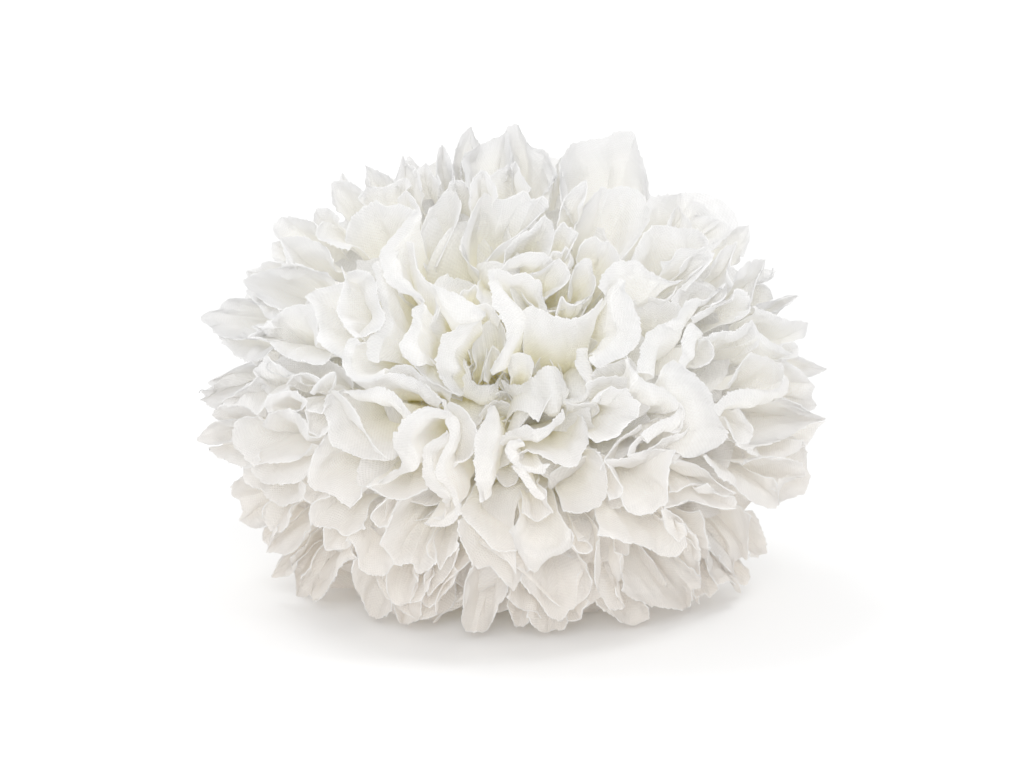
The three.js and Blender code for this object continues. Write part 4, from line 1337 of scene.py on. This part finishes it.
def new_material(name):
    """A material with an empty node tree."""
    material = bpy.data.materials.new(name)
    material.use_nodes = True
    tree = material.node_tree
    tree.nodes.clear()
    return material, tree


def feed(tree, socket, value):
    """Links a socket from another, or sets it to a plain value."""
    if isinstance(value, bpy.types.NodeSocket):
        tree.links.new(value, socket)
    else:
        socket.default_value = value


def node(tree, kind, settings=None, **inputs):
    """A new node with its settings. Its inputs are values or sockets, by name or by _ and their number."""
    made = tree.nodes.new(kind)
    for name, value in (settings or {}).items():
        setattr(made, name, value)
    for name, value in inputs.items():
        feed(tree, made.inputs[int(name[1:]) if name[1:].isdigit() else name.replace("_", " ")], value)
    return made


def math_node(tree, operation, *values):
    """What an operation makes of its values."""
    made = node(tree, "ShaderNodeMath", {"operation": operation})
    for socket, value in zip(made.inputs, values):
        feed(tree, socket, value)
    return made.outputs[0]


def mix_colours(tree, share, first, second, blend="MIX"):
    """The first colour, with the second over it by a share."""
    settings = {"data_type": "RGBA", "blend_type": blend}
    return node(tree, "ShaderNodeMix", settings, _0=share, _6=first, _7=second).outputs[2]


def noise(tree, place, scale, detail, **inputs):
    """A pattern of noise over the places."""
    return node(tree, "ShaderNodeTexNoise", Vector=place, Scale=scale, Detail=detail, **inputs).outputs[0]


def attribute(tree, name):
    """What the mesh gives each of its points under this name."""
    return node(tree, "ShaderNodeAttribute", {"attribute_name": name}).outputs["Fac"]


def object_place(tree):
    """The place on the object, in metres."""
    return node(tree, "ShaderNodeTexCoord").outputs["Object"]


def share_between(tree, value, start, end, step="LINEAR"):
    """Where a value is between two others, from 0 to 1."""
    settings = {"interpolation_type": step}
    return node(tree, "ShaderNodeMapRange", settings, Value=value, From_Min=start, From_Max=end).outputs[0]


def finish_material(tree, shader):
    """Gives the material its surface."""
    node(tree, "ShaderNodeOutputMaterial", Surface=shader.outputs[0])


def new_group(name, inputs, outputs):
    """A shader node group with named sockets, and its input and output nodes."""
    group = bpy.data.node_groups.new(name, "ShaderNodeTree")
    for label, kind in inputs.items():
        group.interface.new_socket(name=label, in_out="INPUT", socket_type=kind)
    for label, kind in outputs.items():
        group.interface.new_socket(name=label, in_out="OUTPUT", socket_type=kind)
    return group, group.nodes.new("NodeGroupInput"), group.nodes.new("NodeGroupOutput")


# The weave: the pitch of its threads in millimetres, the pattern by which they wander, with its scale and
# detail, and how far they do so, and the thick places in them, which are long along a thread and short
# across it.
THREAD_PITCH = 0.33
WANDERING = (900.0, 2.0)
WANDER = 2.2
SLUB_ALONG = 60.0
SLUB_ACROSS = 1100.0


def weave_group():
    """Plain weave: threads over and under each other, uneven in thickness, as a height and a shade."""
    tree, given, made = new_group(
        "plain_weave",
        {"Cloth": "NodeSocketVector", "Threads": "NodeSocketFloat"},
        {"Height": "NodeSocketFloat", "Shade": "NodeSocketFloat"},
    )
    wander = noise(tree, given.outputs["Cloth"], *WANDERING)
    split = node(tree, "ShaderNodeSeparateXYZ", Vector=given.outputs["Cloth"])
    push = math_node(tree, "MULTIPLY", math_node(tree, "SUBTRACT", wander, 0.5), WANDER)
    waves = []
    for axis in (0, 1):
        turns = math_node(tree, "MULTIPLY", split.outputs[axis], given.outputs["Threads"])
        waves.append(math_node(tree, "SINE", math_node(tree, "ADD", turns, push)))
    over = math_node(tree, "MULTIPLY", waves[0], waves[1])
    slubs = []
    for stretch in ((SLUB_ALONG, SLUB_ACROSS, 1.0), (SLUB_ACROSS, SLUB_ALONG, 1.0)):
        place = node(tree, "ShaderNodeMapping", Vector=given.outputs["Cloth"], Scale=stretch)
        slubs.append(noise(tree, place.outputs[0], 1.0, 1.0))
    uneven = math_node(tree, "ADD", slubs[0], slubs[1])
    height = math_node(tree, "ADD", math_node(tree, "MULTIPLY", over, 0.5), uneven)
    tree.links.new(height, made.inputs["Height"])
    shade = math_node(tree, "MULTIPLY_ADD", height, 0.5, 0.5)
    tree.links.new(shade, made.inputs["Shade"])
    return tree


# Colours of the cloth: painted shade at its tips, a painted highlight along its cut edge, its body, painted
# warm shade near the surface below, and where it is dyed, then those of the middle and of the calyx.
TIP_PAINTED_SHADE = (0.912, 0.908, 0.908, 1)
EDGE_PAINTED_HIGHLIGHT = (0.985, 0.98, 0.97, 1)
WARM_WHITE = (0.967, 0.953, 0.91, 1)
LOW_PAINTED_SHADE = (0.925, 0.872, 0.803, 1)
ROOT_TINT = (0.95, 0.88, 0.46, 1)
CORE_YELLOW = (0.90, 0.84, 0.46, 1)
CORE_CREAM = (0.95, 0.91, 0.66, 1)
CALYX_LIGHT = (0.24, 0.31, 0.085, 1)
CALYX_DARK = (0.11, 0.17, 0.045, 1)

# Where the cloth's painted light lies: the tips' painted shade from one share of a petal's length to another,
# the painted warm shade below this height, and the cut edge's painted highlight this close to the rim, in
# millimetres.
TIP_SHADE_SPAN = (0.5, 1.05)
PAINTED_SHADE_BELOW = 55
EDGE_HIGHLIGHT_SPAN = (0.35, 0.05)

# Patterns of noise are given as a scale and a detail, what they shade or roughen as a size and the least,
# and bumps as a strength and a height in millimetres.

# How much light goes through the cloth, its blotches, how much they, each petal's own tone and the weave
# shade it, how rough it is, its sheen, and how its weave stands out.
THROUGH_SHARE = 0.6
BLOTCHES = (140.0, 3.0)
BLOTCH_SHADE = (0.03, 0.975)
TONE_SHADE = 0.02
WEAVE_SHADE = (0.24, 0.81)
CLOTH_ROUGHNESS = (0.2, 0.45)
CLOTH_SHEEN = {"Specular_IOR_Level": 0.35, "Sheen_Weight": 0.25, "Sheen_Roughness": 0.4}
WEAVE_BUMPS = (0.9, 0.12)

# The spots of the middle, and how rough it is.
CORE_SPOTS = (260.0, 4.0)
CORE_BUMPS = (0.5, 0.4)
CORE_ROUGHNESS = 0.85

# The calyx: its fine veins with their own roughness and darkness, its patches, and how rough it is.
VEINS = (420.0, 5.0)
VEINS_ROUGH = 0.65
VEINS_DARK = 0.35
VEIN_BUMPS = (0.35, 0.3)
PATCHES = (90.0, 2.0)
CALYX_ROUGHNESS = (0.2, 0.45)


def bumps(tree, strength, height, pattern):
    """The bumps of a surface, high where a pattern is."""
    return node(tree, "ShaderNodeBump", Strength=strength, Distance=height * MM, Height=pattern).outputs[0]


def petal_material(weave):
    """White silk cloth: warm in its body, dyed near the roots, with painted shade at the tips and low down,
    and a painted highlight at its cut edge.
    """
    material, tree = new_material("petal_cloth")
    cut = node(tree, "ShaderNodeUVMap", {"uv_map": "UVMap"}).outputs[0]
    rate = math.pi / (THREAD_PITCH * MM)
    threads = node(tree, "ShaderNodeGroup", {"node_tree": weave}, Cloth=cut, Threads=rate)
    blotches = noise(tree, cut, *BLOTCHES)

    cloth = mix_colours(tree, attribute(tree, "dye"), WARM_WHITE, ROOT_TINT)
    # Painted shade: the cloth goes grey towards the tips, by the share up each petal.
    painted_tip_shade = share_between(tree, attribute(tree, "rise"), *TIP_SHADE_SPAN, "SMOOTHSTEP")
    cloth = mix_colours(tree, painted_tip_shade, cloth, TIP_PAINTED_SHADE)
    # Painted warm shade: the cloth goes darker and beige towards the surface below.
    height = node(tree, "ShaderNodeSeparateXYZ", Vector=object_place(tree)).outputs[2]
    cloth = mix_colours(tree, share_between(tree, height, PAINTED_SHADE_BELOW * MM, 0.0), cloth, LOW_PAINTED_SHADE)
    uneven = math_node(tree, "MULTIPLY_ADD", blotches, *BLOTCH_SHADE)
    uneven = math_node(tree, "MULTIPLY_ADD", attribute(tree, "tone"), TONE_SHADE, uneven)
    woven = math_node(tree, "MULTIPLY_ADD", threads.outputs["Shade"], *WEAVE_SHADE)
    shaded = math_node(tree, "MULTIPLY", uneven, woven)
    grey = node(tree, "ShaderNodeCombineColor", Red=shaded, Green=shaded, Blue=shaded)
    cloth = mix_colours(tree, 1.0, cloth, grey.outputs[0], "MULTIPLY")
    # Painted highlight: the cloth goes whiter along the cut edge, where frayed threads would catch the light.
    cloth = mix_colours(tree, share_between(tree, attribute(tree, "rim"), *EDGE_HIGHLIGHT_SPAN), cloth, EDGE_PAINTED_HIGHLIGHT)

    bump = bumps(tree, *WEAVE_BUMPS, threads.outputs["Height"])
    roughness = math_node(tree, "MULTIPLY_ADD", blotches, *CLOTH_ROUGHNESS)
    face = node(tree, "ShaderNodeBsdfPrincipled", Base_Color=cloth, Roughness=roughness, Normal=bump,
                **CLOTH_SHEEN)
    through = node(tree, "ShaderNodeBsdfTranslucent", Color=cloth, Normal=bump)
    both = node(tree, "ShaderNodeMixShader", _0=THROUGH_SHARE, _1=face.outputs[0], _2=through.outputs[0])
    finish_material(tree, both)
    return material


def core_material():
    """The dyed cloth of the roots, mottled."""
    material, tree = new_material("core_cloth")
    spots = noise(tree, object_place(tree), *CORE_SPOTS)
    colour = mix_colours(tree, spots, CORE_YELLOW, CORE_CREAM)
    bump = bumps(tree, *CORE_BUMPS, spots)
    cloth = node(tree, "ShaderNodeBsdfPrincipled", Base_Color=colour, Roughness=CORE_ROUGHNESS, Normal=bump)
    finish_material(tree, cloth)
    return material


def calyx_material():
    """Matt green, in darker patches and with fine dark veins."""
    material, tree = new_material("calyx_green")
    place = object_place(tree)
    veins = noise(tree, place, *VEINS, Roughness=VEINS_ROUGH)
    patches = noise(tree, place, *PATCHES)
    colour = mix_colours(tree, patches, CALYX_DARK, CALYX_LIGHT)
    colour = mix_colours(tree, math_node(tree, "MULTIPLY", veins, VEINS_DARK), colour, CALYX_DARK)
    bump = bumps(tree, *VEIN_BUMPS, veins)
    roughness = math_node(tree, "MULTIPLY_ADD", patches, *CALYX_ROUGHNESS)
    green = node(tree, "ShaderNodeBsdfPrincipled", Base_Color=colour, Roughness=roughness, Normal=bump)
    finish_material(tree, green)
    return material


def head_place(point):
    """Turns a mesh made upright to the head's own directions, and puts it at a point."""
    turned = Matrix([RIGHT, CROWN, FACE]).transposed().to_4x4()
    return Matrix.Translation(Vector(point * MM)) @ turned


def turned_cup():
    """The cup and the cut stem, turned round the line that runs back from the middle of the head."""
    outline = np.array([(radius, 0, -back) for radius, back in CALYX_OUTLINE], float)
    line = smooth_line(outline, np.linspace(0, 1, OUTLINE_STEPS * len(outline)))
    line[:, 0] = np.maximum(line[:, 0], 0)
    mesh = bpy.data.meshes.new("calyx")
    mesh.from_pydata((line * MM).tolist(), [(index, index + 1) for index in range(len(line) - 1)], [])
    cup = bpy.data.objects.new("calyx", mesh)
    bpy.context.scene.collection.objects.link(cup)
    apply_modifier(cup, "SCREW", steps=CALYX_STEPS, render_steps=CALYX_STEPS, use_merge_vertices=True)
    choose(cup)
    bpy.ops.object.mode_set(mode="EDIT")
    bpy.ops.mesh.select_all(action="SELECT")
    bpy.ops.mesh.remove_doubles(threshold=CALYX_MERGED)
    bpy.ops.mesh.normals_make_consistent(inside=False)
    bpy.ops.object.mode_set(mode="OBJECT")
    cup.data.transform(head_place(MIDDLE))
    return cup


def sepal(sheet, turn):
    """A pointed leaf from the side of the cup, lying along the backs of the petals."""
    piece = copied(sheet)
    for vertex in piece.data.vertices:
        across, up = vertex.co.x, (vertex.co.y + 1) / 2
        radius = SEPAL_ROWS[0][0] + up * (SEPAL_ROWS[-1][0] - SEPAL_ROWS[0][0])
        ripple = SEPAL_RIPPLE * math.sin(SEPAL_RIPPLE_RATE * up + 2 * turn) * across
        back = SEPAL_START + (radius - SEPAL_ROWS[0][0]) * SEPAL_SLOPE + SEPAL_DROOP * abs(across) + ripple
        aside = across * along(SEPAL_ROWS, radius)
        vertex.co = Vector((MIDDLE + rim_way(turn) * radius + round_way(turn) * aside - FACE * back) * MM)
    return piece


def make_calyx(material):
    """The green cup with its cut stem and its sepals, behind the head."""
    deselect()
    bpy.ops.mesh.primitive_grid_add(x_subdivisions=SEPAL_CELLS[0], y_subdivisions=SEPAL_CELLS[1], size=2)
    sheet = bpy.context.object
    leaves = [sepal(sheet, 2 * math.pi * index / SEPALS) for index in range(SEPALS)]
    bpy.data.objects.remove(sheet)
    for leaf in leaves:
        apply_modifier(leaf, "SOLIDIFY", thickness=SEPAL_THICKNESS * MM, offset=0)
        apply_modifier(leaf, "SUBSURF", levels=1, render_levels=1)
    return finished("calyx_cup", joined(turned_cup(), *leaves), material)


def make_core(material):
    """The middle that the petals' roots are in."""
    deselect()
    bpy.ops.mesh.primitive_ico_sphere_add(subdivisions=CORE_SUBDIVISIONS, radius=1)
    core = bpy.context.object
    for vertex in core.data.vertices:
        way = np.array(vertex.co.normalized())
        angle = math.acos(max(-1.0, min(1.0, float(way @ FACE))))
        turn = math.atan2(float(way @ CROWN), float(way @ RIGHT))
        uneven = 1 + CORE_UNEVEN * float(CRUMPLE.at(way * CORE_FIELD_RADIUS))
        far = reach(angle, turn) * CORE_SHARE * uneven
        vertex.co = Vector((way * far + MIDDLE) * MM)
    deselect()
    length = NECK_TO - NECK_FROM
    bpy.ops.mesh.primitive_cylinder_add(vertices=NECK_SIDES, radius=NECK_RADIUS * MM, depth=length * MM)
    neck = bpy.context.object
    middle = MIDDLE - FACE * (NECK_TO + NECK_FROM) / 2
    neck.data.transform(head_place(middle))
    return finished("petal_core", joined(core, neck), material)


# The stage: its surface, and its side in metres.
FLOOR_SURFACE = {"Base_Color": (0.99, 0.988, 0.985, 1), "Roughness": 0.9, "Specular_IOR_Level": 0.1}
FLOOR_SIDE = 6


def make_floor():
    """The plain pale floor, which fades into the backdrop."""
    deselect()
    bpy.ops.mesh.primitive_plane_add(size=FLOOR_SIDE)
    floor = bpy.context.object
    floor.name = "floor"
    material, tree = new_material("pale_floor")
    finish_material(tree, node(tree, "ShaderNodeBsdfPrincipled", **FLOOR_SURFACE))
    floor.data.materials.append(material)


# The studio: light from all round, and softboxes by their place, side, power, spread and aim, in metres,
# watts and radians. The last one lights the floor behind the head, so that it goes white.
ROOM_COLOUR = (0.98, 0.99, 1, 1)
ROOM_LIGHT = 0.61
AT_HEAD = (0, 0, 0.05)
SOFTBOXES = {
    "fill": ((-0.06, -0.76, 0.4), 0.3, 2.6, math.pi, AT_HEAD),
    "key": ((0.4, -0.15, 0.7), 0.2, 1.7, math.pi, AT_HEAD),
    "high": ((-0.3, 0.12, 0.78), 0.35, 2.6, math.pi, AT_HEAD),
    "backdrop": ((0, 1.5, 1.4), 1.4, 9.0, math.pi / 3, (0, 1.5, 0)),
}

# How the picture is developed: the photo's middle tones are light. Light goes through and between so many
# petals that it needs this many bounces.
GAMMA = 2.15
CLOTH_BOUNCES = 8
ALL_BOUNCES = 12


def make_studio():
    """Soft studio light: an even room and the softboxes."""
    world = bpy.data.worlds.new("room")
    bpy.context.scene.world = world
    world.use_nodes = True
    world.node_tree.nodes["Background"].inputs[0].default_value = ROOM_COLOUR
    world.node_tree.nodes["Background"].inputs[1].default_value = ROOM_LIGHT
    for name, (place, side, power, spread, aim) in SOFTBOXES.items():
        light = bpy.data.lights.new(name, "AREA")
        light.shape = "SQUARE"
        light.size = side
        light.energy = power
        light.spread = spread
        box = bpy.data.objects.new(name, light)
        bpy.context.scene.collection.objects.link(box)
        box.location = place
        box.rotation_euler = (Vector(aim) - Vector(place)).to_track_quat("-Z", "Y").to_euler()


def make_camera():
    """The camera, where the photo's was."""
    camera = bpy.data.cameras.new("camera")
    holder = bpy.data.objects.new("camera", camera)
    bpy.context.scene.collection.objects.link(holder)
    bpy.context.scene.camera = holder
    holder.location = (AIM + TO_CAMERA * CAMERA_DISTANCE) * MM
    holder.rotation_euler = (Vector(AIM * MM) - holder.location).to_track_quat("-Z", "Y").to_euler()
    camera.sensor_width = SENSOR_WIDTH
    camera.lens = CAMERA_DISTANCE / (PICTURE_WIDTH * PIXEL) * SENSOR_WIDTH


make_camera()
make_studio()
make_floor()
cloth = petal_material(weave_group())
for whorl in [*make_bloom(cloth), make_threads(cloth)]:
    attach(whorl, "root")
    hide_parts("bloom")
core = make_core(core_material())
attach(core, "root")
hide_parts("bloom")
calyx = make_calyx(calyx_material())
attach(calyx, "root")
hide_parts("calyx")
bpy.context.scene.view_settings.view_transform = "Standard"
bpy.context.scene.view_settings.gamma = GAMMA
bpy.context.scene.cycles.diffuse_bounces = CLOTH_BOUNCES
bpy.context.scene.cycles.transmission_bounces = CLOTH_BOUNCES
bpy.context.scene.cycles.max_bounces = ALL_BOUNCES
